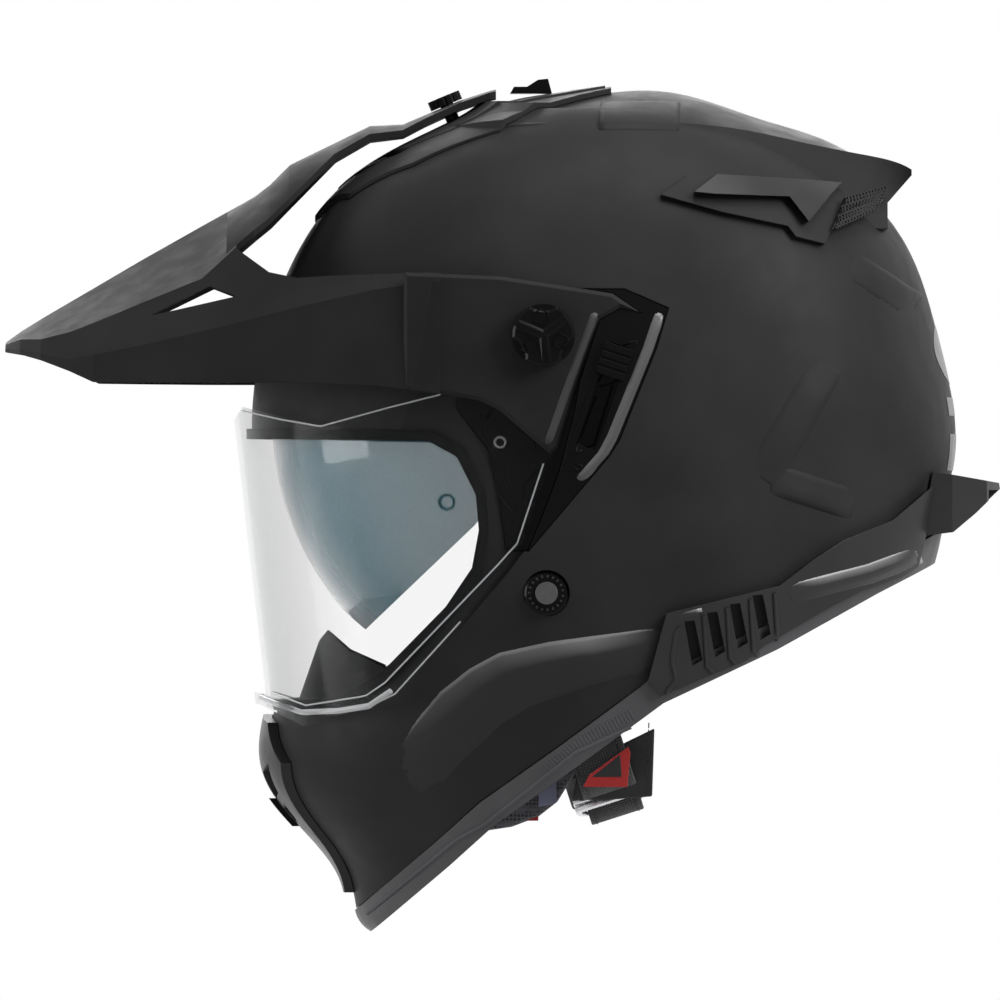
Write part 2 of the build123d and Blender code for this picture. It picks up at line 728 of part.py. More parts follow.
# Top vent: a wide cover over the brow with a ridge and a thumb slider
TOP_VENT_SHARES = (
    (0.285, 0.000),
    (0.250, 0.090),
    (0.186, 0.127),
    (0.100, 0.135),
    (0.085, 0.120),
    (0.020, 0.062),
    (-0.011, 0.040),
)
RIDGE_SHARES = ((0.262, 0.000), (0.225, 0.060), (0.149, 0.084), (0.062, 0.054), (-0.005, 0.026))
VENT_FACE = 2.6  # how far the cover's face stands over the shell
RIDGE_FACE = 3.5
TOP_SLOT_SHARES = ((0.094, 0.020), (0.094, -0.020), (0.030, -0.020), (0.030, 0.020))
TOP_SLOT_FLOOR_SHARE = 0.4045
TOP_SLIDER_SHARES = ((0.090, 0.4060), (0.086, 0.4130), (0.073, 0.4130), (0.062, 0.4200),
                     (0.052, 0.4210), (0.048, 0.4060))
TOP_SLIDER_HALF_WIDTH = 8.2
TOP_INLET_SHARES = ((0.235, 0.030), (0.205, 0.075), (0.190, 0.075), (0.215, 0.030))


def both_halves(half_shares):
    return [*half_shares, *[(x, -y) for x, y in reversed(half_shares) if y]]


def make_top_vent():
    cover = plan_block(both_halves(TOP_VENT_SHARES), 0, REACH) & outer_form(-VENT_FACE)
    cover += plan_block(both_halves(RIDGE_SHARES), 0, REACH) & outer_form(-RIDGE_FACE)
    cover -= outer_form(-SEAT_GAP)
    cover -= plan_block(TOP_SLOT_SHARES, TOP_SLOT_FLOOR_SHARE * DRAWING, REACH)
    for inlet in (TOP_INLET_SHARES, [(x, -y) for x, y in TOP_INLET_SHARES]):
        cover -= plan_block(inlet, 0, REACH)
    cover -= screw_plane() * Cylinder(SCREW_RADIUS + RUN_GAP, 2 * SCREW_LENGTH)
    return largest(cover)


def make_top_slider():
    return prism(TOP_SLIDER_SHARES, -TOP_SLIDER_HALF_WIDTH, TOP_SLIDER_HALF_WIDTH)


# Rear exhaust vents under the spoiler: a blade on the shell, a cap on the blade and a grille
REAR_BLADE_SHARES = (
    (-0.059, 0.302),
    (-0.086, 0.322),
    (-0.115, 0.323),
    (-0.200, 0.318),
    (-0.285, 0.300),
    (-0.2715, 0.288),
    (-0.228, 0.266),
    (-0.222, 0.254),
    (-0.193, 0.261),
    (-0.185, 0.2715),
    (-0.120, 0.285),
)
REAR_CAP_SHARES = (
    (-0.092, 0.305),
    (-0.115, 0.323),
    (-0.240, 0.316),
    (-0.229, 0.304),
    (-0.206, 0.276),
    (-0.187, 0.301),
    (-0.113, 0.303),
)
REAR_GRILLE_SHARES = ((-0.2430, 0.3000), (-0.2820, 0.2990), (-0.2715, 0.2890), (-0.2290, 0.2680))
BLADE_FACE = 3.2
CAP_FACE = 8.5
GRILLE_FACE = 5.5
HEX_RADIUS = 2.0
HEX_PITCH = 4.6


def make_rear_blade():
    return largest(skin(REAR_BLADE_SHARES, SEAT_GAP, BLADE_FACE))


def make_rear_cap():
    return largest(skin(REAR_CAP_SHARES, BLADE_FACE + SEAT_GAP, CAP_FACE))


def make_rear_grille():
    grille = skin(REAR_GRILLE_SHARES, BLADE_FACE + SEAT_GAP, GRILLE_FACE)
    (x0, z0), (x1, z1) = REAR_GRILLE_SHARES[0], REAR_GRILLE_SHARES[2]
    centre = ((x0 + x1) / 2 * DRAWING, (z0 + z1) / 2 * DRAWING)
    zone = outline_face(REAR_GRILLE_SHARES, grow=-HEX_RADIUS)
    cells = []
    for row in range(-4, 5):
        for column in range(-5, 6):
            x = centre[0] + (column + row / 2) * HEX_PITCH
            z = centre[1] + row * HEX_PITCH * math.sqrt(3) / 2
            if zone.is_inside((x, 0, z)):
                plane = Plane((x, 0, z), x_dir=(1, 0, 0), z_dir=(0, 1, 0))
                cells.append(extrude(plane * RegularPolygon(HEX_RADIUS, 6), amount=REACH))
    return largest(grille - cells)


# Side skirts with louvres, and the diffuser at the back
SKIRT_SHARES = (
    (-0.0645, -0.112),
    (-0.176, -0.085),
    (-0.209, -0.060),
    (-0.240, -0.040),
    (-0.290, -0.020),
    (-0.345, 0.026),
    (-0.372, 0.026),
    (-0.372, -0.032),
    (-0.303, -0.075),
    (-0.260, -0.090),
    (-0.228, -0.106),
    (-0.162, -0.144),
    (-0.144, -0.159),
    (-0.123, -0.167),
    (-0.071, -0.189),
    (-0.059, -0.194),
    (-0.046, -0.180),
)
SKIRT_FACE = 4.2
SKIRT_BACK_EDGE = 56.0  # distance of the skirt's rear edge from the middle plane
LOUVRES = 4
LOUVRE_SHARES = ((-0.082, -0.120), (-0.092, -0.119), (-0.100, -0.158), (-0.090, -0.164))
LOUVRE_STEP_SHARE = (-0.0225, 0.0085)
DIFFUSER_SHARES = (
    (-0.320, 0.030),
    (-0.358, 0.024),
    (-0.398, 0.017),
    (-0.399, 0.011),
    (-0.374, -0.013),
    (-0.351, -0.032),
    (-0.320, -0.036),
)
DIFFUSER_PLAN_SHARES = ((-0.300, 0.122), (-0.350, 0.118), (-0.385, 0.085), (-0.400, 0.045))
DIFFUSER_SLOT_SHARES = ((-0.372, 0.010), (-0.372, -0.005), (-0.420, -0.005), (-0.420, 0.010))
DIFFUSER_SLOT_HALF_WIDTH = 9.0
DIFFUSER_SLOT_PITCH = 26.0


def make_skirt():
    skirt = skin(SKIRT_SHARES, SEAT_GAP + TRIM_PROUD, SKIRT_FACE, SKIRT_BACK_EDGE)
    for k in range(LOUVRES):
        slot = [(x + LOUVRE_STEP_SHARE[0] * k, z + LOUVRE_STEP_SHARE[1] * k) for x, z in LOUVRE_SHARES]
        skirt -= prism(slot, SKIRT_BACK_EDGE, REACH)
    return largest(skirt)


def make_diffuser():
    block = prism(DIFFUSER_SHARES) & plan_block(both_halves(DIFFUSER_PLAN_SHARES), -REACH, REACH)
    block -= outer_form(-SEAT_GAP - TRIM_PROUD)
    for k in (-1, 0, 1):
        middle = k * DIFFUSER_SLOT_PITCH
        low = middle - DIFFUSER_SLOT_HALF_WIDTH
        block -= prism(DIFFUSER_SLOT_SHARES, low, middle + DIFFUSER_SLOT_HALF_WIDTH)
    return largest(block)


# Chin vent
CHIN_COVER_SHARES = (
    (0.000, -0.214),
    (0.060, -0.222),
    (0.098, -0.262),
    (0.060, -0.345),
    (0.028, -0.392),
    (0.000, -0.392),
)
CHIN_FACE = 4.4
CHIN_INLET_SHARES = (
    ((0.022, -0.272), (0.066, -0.262), (0.058, -0.292), (0.022, -0.300)),
    ((0.026, -0.308), (0.052, -0.302), (0.046, -0.318), (0.026, -0.324)),
)
CHIN_SLOT_SHARES = ((0.018, -0.296), (-0.018, -0.296), (-0.018, -0.345), (0.018, -0.345))
CHIN_SLOT_DEPTH = 2.4
CHIN_SLIDER_SHARES = ((0.0165, -0.298), (-0.0165, -0.298), (-0.0165, -0.326), (0.0165, -0.326))
CHIN_SLIDER_PROUD = 3.0


def make_chin_cover():
    half = CHIN_COVER_SHARES
    outline = [*half, *[(-y, z) for y, z in reversed(half) if y]]
    cover = (front_block(outline, 0, REACH) & body(-CHIN_FACE)) - body(-SEAT_GAP)
    for inlet in CHIN_INLET_SHARES:
        cover -= front_block(inlet, 0, REACH)
        cover -= front_block([(-y, z) for y, z in inlet], 0, REACH)
    cover -= front_block(CHIN_SLOT_SHARES, 0, REACH) - body(CHIN_SLOT_DEPTH - CHIN_FACE)
    return largest(cover)


def make_chin_slider():
    block = front_block(CHIN_SLIDER_SHARES, 0, REACH) & body(-CHIN_FACE - CHIN_SLIDER_PROUD)
    return largest(block - body(CHIN_SLOT_DEPTH - CHIN_FACE - SEAT_GAP))


# Head room: level sections as (height, front, rear) and half width, shares of DRAWING
HEAD_SECTION_SHARES = (
    (0.302, 0.060, -0.060, 0.050),
    (0.285, 0.120, -0.118, 0.098),
    (0.240, 0.182, -0.180, 0.145),
    (0.160, 0.224, -0.216, 0.178),
    (0.080, 0.241, -0.234, 0.193),
    (0.000, 0.254, -0.234, 0.195),
    (-0.090, 0.262, -0.222, 0.190),
    (-0.200, 0.266, -0.205, 0.182),
    (-0.340, 0.230, -0.136, 0.160),
)
HEAD_POWER = 2.0


@functools.cache
def head_room(inset):
    """The hollow for the head, moved in by inset all round."""
    rings = []
    for row, (up, front, rear, half) in enumerate(HEAD_SECTION_SHARES):
        sunk = inset if row == 0 else 0
        rings.append(
            ring_face(
                front * DRAWING - inset,
                rear * DRAWING + inset,
                half * DRAWING - inset,
                HEAD_POWER,
                HEAD_POWER,
                up * DRAWING - sunk,
                SECTION_POINTS,
            )
        )
    return loft(rings)


# Foam liners and pads, each inside its own side outline
LINER_GAP = 0.3
FOAM_CLEAR = 1.5  # room round pins and screws in the foam
CROWN_FOAM_SHARES = (
    (0.420, 0.068),
    (0.165, 0.066),
    (0.134, 0.050),
    (0.112, 0.008),
    (0.108, -0.045),
    (-0.040, -0.100),
    (-0.250, -0.020),
    (-0.420, 0.030),
    (-0.420, 0.420),
    (0.420, 0.420),
)
CHIN_FOAM_SHARES = (
    (0.420, -0.214),
    (0.262, -0.210),
    (0.206, -0.182),
    (0.190, -0.210),
    (0.205, -0.300),
    (0.160, -0.330),
    (0.245, -0.405),
    (0.420, -0.405),
)
CHIN_FOAM_THICK = 20.0
CROWN_PAD_THICK = 8.0
CROWN_PAD_SHARES = (
    (0.300, 0.095),
    (0.120, 0.110),
    (-0.020, 0.060),
    (-0.080, -0.010),
    (-0.300, 0.030),
    (-0.300, 0.330),
    (0.300, 0.330),
)
CHEEK_SHARES = (
    (0.112, -0.056),
    (0.150, -0.112),
    (0.196, -0.165),
    (0.180, -0.215),
    (0.190, -0.290),
    (0.130, -0.328),
    (0.105, -0.325),
    (0.044, -0.274),
    (-0.030, -0.225),
    (-0.060, -0.170),
    (-0.045, -0.108),
    (0.020, -0.082),
)
CHEEK_INSET = 9.5  # how far the cheek pad's outer face lies inside the shell's
NECK_SHARES = (
    (-0.066, -0.115),
    (-0.250, -0.0210),
    (-0.420, 0.0290),
    (-0.400, -0.020),
    (-0.250, -0.092),
    (-0.160, -0.144),
    (-0.068, -0.180),
)
NECK_THICK = 20.0


def make_crown_foam():
    foam = (prism(CROWN_FOAM_SHARES) & cavity(WALL + LINER_GAP)) - [head_room(0), sun_room()]
    for place, radius in ((PIVOT, KNOB_SCREW_RADIUS), (SUN_PIVOT, SUN_PIN_HEAD_RADIUS)):
        hole = rod(place, radius + FOAM_CLEAR, KNOB_SCREW_END - FOAM_CLEAR, REACH)
        foam -= [hole, mirrored(hole)]
    foam -= screw_plane() * Cylinder(SCREW_RADIUS + FOAM_CLEAR, 2 * (SCREW_LENGTH + FOAM_CLEAR))
    return largest(foam)


def make_chin_foam():
    foam = prism(CHIN_FOAM_SHARES) & cavity(WALL + LINER_GAP)
    foam -= [body(CHIN_FOAM_THICK), below_rim(0)]
    return largest(foam)


def make_crown_pad():
    pad = (head_room(LINER_GAP) - head_room(CROWN_PAD_THICK)) & prism(CROWN_PAD_SHARES)
    return largest(pad)


def make_cheek_pad():
    pad = prism(CHEEK_SHARES, 0, REACH, grow=-LINER_GAP) & cavity(CHEEK_INSET)
    pad -= rod(ANCHOR, RIVET_HEAD_RADIUS + FOAM_CLEAR, strap_inner() - RIVET_TAIL - FOAM_CLEAR, REACH)
    return largest(pad - head_room(0))


def make_neck_roll():
    roll = prism(NECK_SHARES) & body(CHEEK_INSET)
    return largest(roll - body(CHEEK_INSET + NECK_THICK))


# Breath guard: a rubber flap that rises from the eyeport's lower edge
GUARD_NOSE_SHARE = (0.280, -0.138)
GUARD_CHIN_SHARE = (0.298, -0.190)
GUARD_CHEEK_SHARE = 0.080
GUARD_HALF_WIDTH = 92.0
GUARD_WALL = 2.0
GUARD_POWER = 2.2
GUARD_SHARES = ((0.340, -0.2090), (0.272, -0.1300), (0.250, -0.1500), (0.215, -0.1660), (0.215, -0.1850), (0.262, -0.2090))


def make_guard():
    def form(inset):
        return leaning_block(GUARD_NOSE_SHARE, GUARD_CHIN_SHARE, GUARD_CHEEK_SHARE, GUARD_HALF_WIDTH,
                             GUARD_POWER, 0.0, VISOR_FOOT_SHARE, VISOR_TAIL_SHARE, inset)

    guard = (form(0) - form(GUARD_WALL)) & prism(GUARD_SHARES)
    return largest(guard & cavity(WALL + LINER_GAP))


# Strap anchors: a washer in its seat and a rivet through washer, shell and strap end
def make_washer():
    washer = rod(ANCHOR, WASHER_RADIUS, ANCHOR_SEAT, ANCHOR_SEAT + WASHER_HEIGHT)
    washer = chamfer(washer.faces().sort_by(Axis.Y)[-1].edges(), WASHER_HEIGHT / 3)
    return washer - rod(ANCHOR, RIVET_RADIUS + RUN_GAP, 0, REACH)


def make_rivet():
    top = ANCHOR_SEAT + WASHER_HEIGHT
    inner = strap_inner()
    rivet = rod(ANCHOR, RIVET_RADIUS, inner - RIVET_TAIL, top + RIVET_HEAD)
    rivet += rod(ANCHOR, RIVET_HEAD_RADIUS, top, top + RIVET_HEAD)
    return rivet + rod(ANCHOR, RIVET_HEAD_RADIUS, inner - RIVET_TAIL, inner - 2 * SEAT_GAP)


# Chin strap: flat bands in one leaning plane; routes run (across, down) from the anchor
STRAP_LOWEST_SHARE = (-0.012, -0.298)
STRAP_WIDTH = 24.0
STRAP_LEFT_SHARES = (
    (0.2668, -0.0050),
    (0.2622, 0.0455),
    (0.2559, 0.0909),
    (0.2477, 0.1318),
    (0.2382, 0.1727),
    (0.2182, 0.2000),
    (0.1850, 0.2060),
)
STRAP_RIGHT_SHARES = (
    (-0.2668, -0.0050),
    (-0.2622, 0.0455),
    (-0.2559, 0.0909),
    (-0.2477, 0.1318),
    (-0.2382, 0.1727),
    (-0.2182, 0.2000),
    (-0.1364, 0.2148),
    (0.0000, 0.2170),
    (0.0900, 0.2290),
    (0.1460, 0.2345),
    (0.1735, 0.1930),
    (0.2000, 0.1885),
)
STRAP_PAD_SHARES = (
    (-0.1850, 0.1955),
    (-0.1300, 0.2060),
    (0.0000, 0.2090),
    (0.0750, 0.2120),
    (0.1120, 0.2040),
    (0.1500, 0.1860),
    (0.1950, 0.1790),
)
STRAP_BEND_SHARE = 0.25  # of the shorter run beside a bend, taken by its arc
STRAP_PAD_WIDTH = 36.0
STRAP_PAD_WALL = 4.0
RING_BAR_SHARE = (0.1773, 0.2072)  # middle of the first ring's straight bar
RING_LENGTH = 23.0
RING_WIDTH = 34.0
RING_BAR = 3.0
RING_THICK = 2.6
RING_PITCH = 3.5
HEM_WALL = 1.4


def strap_plane():
    (x0, z0), (x1, z1) = ANCHOR, STRAP_LOWEST_SHARE
    dx, dz = x1 - x0, z1 - z0
    return Plane(side_point(ANCHOR), x_dir=(0, 1, 0), z_dir=(dz, 0, -dx))


def strap_inner():
    """Distance of the strap's inner face from the middle plane at the anchor."""
    (a0, b0), (a1, b1) = STRAP_LEFT_SHARES[0], STRAP_LEFT_SHARES[1]
    middle = a0 + (a1 - a0) * (0 - b0) / (b1 - b0)
    return middle * DRAWING - STRAP_WALL / 2


def band(route_shares, width, wall):
    points = [(a * DRAWING, b * DRAWING) for a, b in route_shares]
    radii = []
    for before, here, after in zip(points, points[1:], points[2:]):
        turn = (Vector(*here) - Vector(*before)).get_angle(Vector(*after) - Vector(*here))
        run = min(math.dist(before, here), math.dist(here, after))
        radii.append(STRAP_BEND_SHARE * run / math.tan(math.radians(turn) / 2))
    route = FilletPolyline(*points, radius=radii)
    start = Plane(route @ 0, x_dir=(0, 0, 1), z_dir=route % 0)
    return strap_plane() * sweep(start * Rectangle(width, wall), route)


def ring_plane():
    """At the straight bar's middle: x along the strap to the bar, y across the strap, z out of it."""
    (a0, b0), (a1, b1) = STRAP_LEFT_SHARES[-2], STRAP_LEFT_SHARES[-1]
    away = Plane(
        (RING_BAR_SHARE[0] * DRAWING, RING_BAR_SHARE[1] * DRAWING, 0),
        x_dir=(a1 - a0, b1 - b0, 0),
        z_dir=(-(b1 - b0), a1 - a0, 0),
    )
    return strap_plane() * away.location


def make_ring(number):
    """A D-shaped ring: straight bar in the hem, round end along the strap."""
    half = RING_WIDTH / 2

    def d_face(shrink):
        side = half - shrink
        back = shrink - RING_BAR / 2
        round_start = RING_LENGTH - RING_BAR / 2 - half
        low = Line((back, -side), (round_start, -side))
        nose = ThreePointArc((round_start, -side), (round_start + side, 0), (round_start, side))
        high = Line((round_start, side), (back, side))
        return Face(Wire([low, nose, high, Line((back, side), (back, -side))]))

    plate = extrude(d_face(0), amount=RING_THICK) - extrude(d_face(RING_BAR), amount=RING_THICK)
    plate = chamfer(plate.edges().filter_by(Plane.XY), RING_THICK / 5)
    return ring_plane() * (Pos(0, 0, -RING_THICK / 2 - RING_PITCH * number) * plate)


def make_left_strap():
    strap = band(STRAP_LEFT_SHARES, STRAP_WIDTH, STRAP_WALL) & strap_zone()
    strap -= rod(ANCHOR, RIVET_RADIUS + RUN_GAP, 0, REACH)
    bore = math.hypot(RING_BAR, RING_THICK) / 2 + SEAT_GAP
    hem = Cylinder(bore + HEM_WALL, STRAP_WIDTH, rotation=(90, 0, 0))
    second = Pos(0, 0, -RING_PITCH)
    between = Pos(0, 0, -RING_PITCH / 2) * Box(2 * (bore + HEM_WALL), STRAP_WIDTH, RING_PITCH)
    hole = Cylinder(bore, 2 * STRAP_WIDTH, rotation=(90, 0, 0))
    gap = Pos(0, 0, -RING_PITCH / 2) * Box(2 * bore, 2 * STRAP_WIDTH, RING_PITCH)
    form = hem + second * hem + between
    hollow = hole + second * hole + gap
    return largest((strap + ring_plane() * form) - ring_plane() * hollow)


def make_right_strap():
    strap = band(STRAP_RIGHT_SHARES, STRAP_WIDTH, STRAP_WALL) & strap_zone()
    return largest(strap - rod(ANCHOR, RIVET_RADIUS + RUN_GAP, -REACH, 0))


def strap_zone():
    """Inside the shell above the rim, and anywhere below it."""
    return cavity(WALL + LINER_GAP) + below_rim(TRIM_DEPTH)


# Frame-shaped tab sewn to the strap under the rim
TAB_SHARES = ((-0.027, -0.2440), (-0.029, -0.2500), (-0.026, -0.2840), (0.018, -0.2840), (0.012, -0.2720))
TAB_INNER = 106.2
TAB_WALL = 1.6


def make_tab():
    return prism(TAB_SHARES, TAB_INNER, TAB_INNER + TAB_WALL)


# Pull tab and ribbon under each cheek pad
PULL_SHARES = ((0.083, -0.300), (0.062, -0.294), (0.062, -0.318), (0.083, -0.318))
PULL_MIDDLE = 86.0
PULL_WALL = 2.0
RIBBON_SHARES = ((0.062, -0.284), (0.044, -0.270), (0.044, -0.300), (0.062, -0.304))
RIBBON_MIDDLE = 94.0
RIBBON_WALL = 1.2


def hanging(outline_shares, middle, wall):
    """A flat piece that hangs from the cheek pad's underside."""
    piece = prism(outline_shares, middle - wall / 2, middle + wall / 2)
    return largest(piece - prism(CHEEK_SHARES))


def make_strap_pad():
    return band(STRAP_PAD_SHARES, STRAP_PAD_WIDTH, STRAP_PAD_WALL)


# Every piece once, under its name; the pairs are made as the wearer's left one and mirrored
SINGLE_PIECES = {
    "outer_shell": make_shell,
    "base_trim": make_base_trim,
    "eyeport_seal": make_seal,
    "visor": make_visor,
    "peak": make_peak,
    "peak_screw": make_screw,
    "side_cover_left": lambda: make_side_cover(slotted=True),
    "side_cover_right": lambda: mirrored(make_side_cover(slotted=False)),
    "sun_visor_slider": make_slider,
    "sun_visor": make_sun_visor,
    "top_vent_cover": make_top_vent,
    "top_vent_slider": make_top_slider,
    "rear_diffuser": make_diffuser,
    "chin_vent_cover": make_chin_cover,
    "chin_vent_slider": make_chin_slider,
    "crown_foam": make_crown_foam,
    "chin_foam": make_chin_foam,
    "crown_pad": make_crown_pad,
    "neck_roll": make_neck_roll,
    "breath_guard": make_guard,
    "strap_left": make_left_strap,
    "strap_right": make_right_strap,
    "strap_pad": make_strap_pad,
    "strap_tab": make_tab,
    "d_ring_inner": lambda: make_ring(0),
    "d_ring_outer": lambda: make_ring(1),
}
PAIRED_PIECES = {
    "visor_pin": make_visor_pin,
    "peak_knob": make_knob,
    "mechanism_plate": make_mechanism_plate,
    "sun_visor_pin": make_sun_pin,
    "rear_blade": make_rear_blade,
    "rear_cap": make_rear_cap,
    "rear_grille": make_rear_grille,
    "side_skirt": make_skirt,
    "cheek_pad": make_cheek_pad,
    "anchor_washer": make_washer,
    "anchor_rivet": make_rivet,
    "pull_tab": lambda: hanging(PULL_SHARES, PULL_MIDDLE, PULL_WALL),
    "pull_ribbon": lambda: hanging(RIBBON_SHARES, RIBBON_MIDDLE, RIBBON_WALL),
}


if __name__ == "__main__":
    os.makedirs("parts", exist_ok=True)
    for name, make in SINGLE_PIECES.items():
        export_step(make(), f"parts/{name}.step")
    for name, make in PAIRED_PIECES.items():
        left = make()
        export_step(left, f"parts/{name}_left.step")
        export_step(mirrored(left), f"parts/{name}_right.step")
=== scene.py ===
# Dual-sport motorcycle helmet, dressed for the photograph: metres, +X forward, +Y the wearer's left,
# +Z up, the origin between the wearer's ears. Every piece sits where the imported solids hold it.
import math

import bmesh
import bpy
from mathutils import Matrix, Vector
from mathutils.bvhtree import BVHTree


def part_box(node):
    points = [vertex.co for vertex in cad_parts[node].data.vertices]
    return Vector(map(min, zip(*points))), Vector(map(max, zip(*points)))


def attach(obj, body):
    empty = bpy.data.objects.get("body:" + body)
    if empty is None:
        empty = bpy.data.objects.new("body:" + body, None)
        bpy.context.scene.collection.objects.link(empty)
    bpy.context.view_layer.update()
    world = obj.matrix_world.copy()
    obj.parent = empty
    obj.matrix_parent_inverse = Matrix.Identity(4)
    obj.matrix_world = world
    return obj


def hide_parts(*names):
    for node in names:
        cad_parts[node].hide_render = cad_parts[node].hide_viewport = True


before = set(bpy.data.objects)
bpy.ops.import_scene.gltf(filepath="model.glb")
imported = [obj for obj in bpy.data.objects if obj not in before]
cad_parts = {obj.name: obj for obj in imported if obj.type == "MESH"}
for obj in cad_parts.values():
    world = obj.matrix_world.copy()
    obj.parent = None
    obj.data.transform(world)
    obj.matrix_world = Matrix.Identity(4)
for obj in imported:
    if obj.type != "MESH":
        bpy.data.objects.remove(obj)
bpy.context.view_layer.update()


# Camera
# A level view of the wearer's left side from far off, as the photograph was taken, with the
# photograph's square of 440 mm filling the picture.
PHOTO_SIDE = 0.44
PHOTO_CENTRE = (0.044, 0.0, 0.0)
CAMERA_DISTANCE = 10.0
CAMERA_REACH = 100.0
SENSOR_MM = 36.0


def placed(name, data):
    """An object of the scene for a mesh, a curve, a lamp or the camera."""
    piece = bpy.data.objects.new(name, data)
    bpy.context.scene.collection.objects.link(piece)
    return piece


lens = bpy.data.cameras.new("camera")
lens.sensor_width = SENSOR_MM
lens.lens = SENSOR_MM * CAMERA_DISTANCE / PHOTO_SIDE
lens.clip_end = CAMERA_REACH
camera = placed("camera", lens)
camera.location = (PHOTO_CENTRE[0], CAMERA_DISTANCE, PHOTO_CENTRE[2])
camera.rotation_euler = (math.pi / 2, 0, math.pi)
bpy.context.scene.camera = camera


# Studio
# A pale floor below the held helmet and soft boxes ahead, behind and above, so the black surfaces
# get their long soft highlights; the white backdrop is seen by the camera, gloss and glass.
WHITE = (1.0, 1.0, 1.0, 1.0)
ROOM_LEVEL = 0.1
SOFT_BOXES = {
    "front_box": ((2.1, 0.2, 0.15), 1.1, 26.0),
    "rear_box": ((-1.7, 1.1, 1.2), 1.2, 56.0),
    "top_box": ((-0.3, 0.5, 2.1), 1.5, 40.0),
    "far_box": ((0.2, -2.0, 0.9), 1.4, 16.0),
}
FLOOR_HEIGHT = -0.36
FLOOR_HALF = 4.0
FLOOR_COLOUR = (0.48, 0.48, 0.48, 1.0)
FLOOR_LIFT = (0.5, 0.5, 0.5, 1.0)
FLOOR_ROUGHNESS = 0.9


def set_inputs(tree, node, inputs):
    """Links a node's inputs to sockets, or sets them to plain values."""
    for key, value in inputs.items():
        if isinstance(value, bpy.types.NodeSocket):
            tree.links.new(value, node.inputs[key])
        else:
            node.inputs[key].default_value = value


def add_node(tree, kind, inputs=None, **settings):
    made = tree.nodes.new(kind)
    for key, value in settings.items():
        setattr(made, key, value)
    set_inputs(tree, made, inputs or {})
    return made


def seen_rays(tree):
    """1 where the camera, a reflection or something clear looks, 0 for light on the object."""
    path = add_node(tree, "ShaderNodeLightPath").outputs
    seen = path["Is Camera Ray"]
    for ray in ("Is Glossy Ray", "Is Transmission Ray"):
        seen = add_node(tree, "ShaderNodeMath", {0: seen, 1: path[ray]}, operation="MAXIMUM").outputs[0]
    return seen


def mesh_piece(name, corners, faces):
    mesh = bpy.data.meshes.new(name)
    mesh.from_pydata([tuple(c) for c in corners], [], faces)
    mesh.update()
    return placed(name, mesh)


room = bpy.data.worlds.new("room")
bpy.context.scene.world = room
room.use_nodes = True
tree = room.node_tree
backdrop = add_node(tree, "ShaderNodeBackground", {"Color": WHITE})
soft = tree.nodes["Background"]
set_inputs(tree, soft, {"Color": WHITE, "Strength": ROOM_LEVEL})
levels = {0: seen_rays(tree), 1: soft.outputs[0], 2: backdrop.outputs[0]}
mix = add_node(tree, "ShaderNodeMixShader", levels)
set_inputs(tree, tree.nodes["World Output"], {"Surface": mix.outputs[0]})

for name, (place, side, power) in SOFT_BOXES.items():
    box = bpy.data.lights.new(name, "AREA")
    box.size = side
    box.energy = power
    lamp = placed(name, box)
    lamp.location = place
    lamp.rotation_euler = (-Vector(place)).to_track_quat("-Z", "Y").to_euler()

square = ((-1, -1), (1, -1), (1, 1), (-1, 1))
floor_corners = [(x * FLOOR_HALF, y * FLOOR_HALF, FLOOR_HEIGHT) for x, y in square]
floor = mesh_piece("floor", floor_corners, [(0, 1, 2, 3)])
pale = bpy.data.materials.new("pale_floor")
pale.use_nodes = True
tree = pale.node_tree
matte = tree.nodes["Principled BSDF"]
set_inputs(tree, matte, {"Base Color": FLOOR_COLOUR, "Roughness": FLOOR_ROUGHNESS})
set_inputs(tree, matte, {"Emission Color": FLOOR_LIFT, "Emission Strength": seen_rays(tree)})
floor.data.materials.append(pale)
bpy.context.scene.view_settings.view_transform = "Standard"


# Shell
# One moulded shell in matte black lacquer: a very fine grain, a soft sheen and faint dust, with
# its edges rounded by the paint. The top vent's cover and the rear blades are lacquered with it.
SHELL_BLACK = (0.022, 0.022, 0.0225)
TONE_SHARES = (0.88, 1.18)
TONE_NOISE = (18, 3)
SHEEN_NOISE = (90, 5)
SHEEN_BELOW, SHEEN_ABOVE = 0.04, 0.05
GRAIN_DETAIL = 2
EDGE_SAMPLES = 4


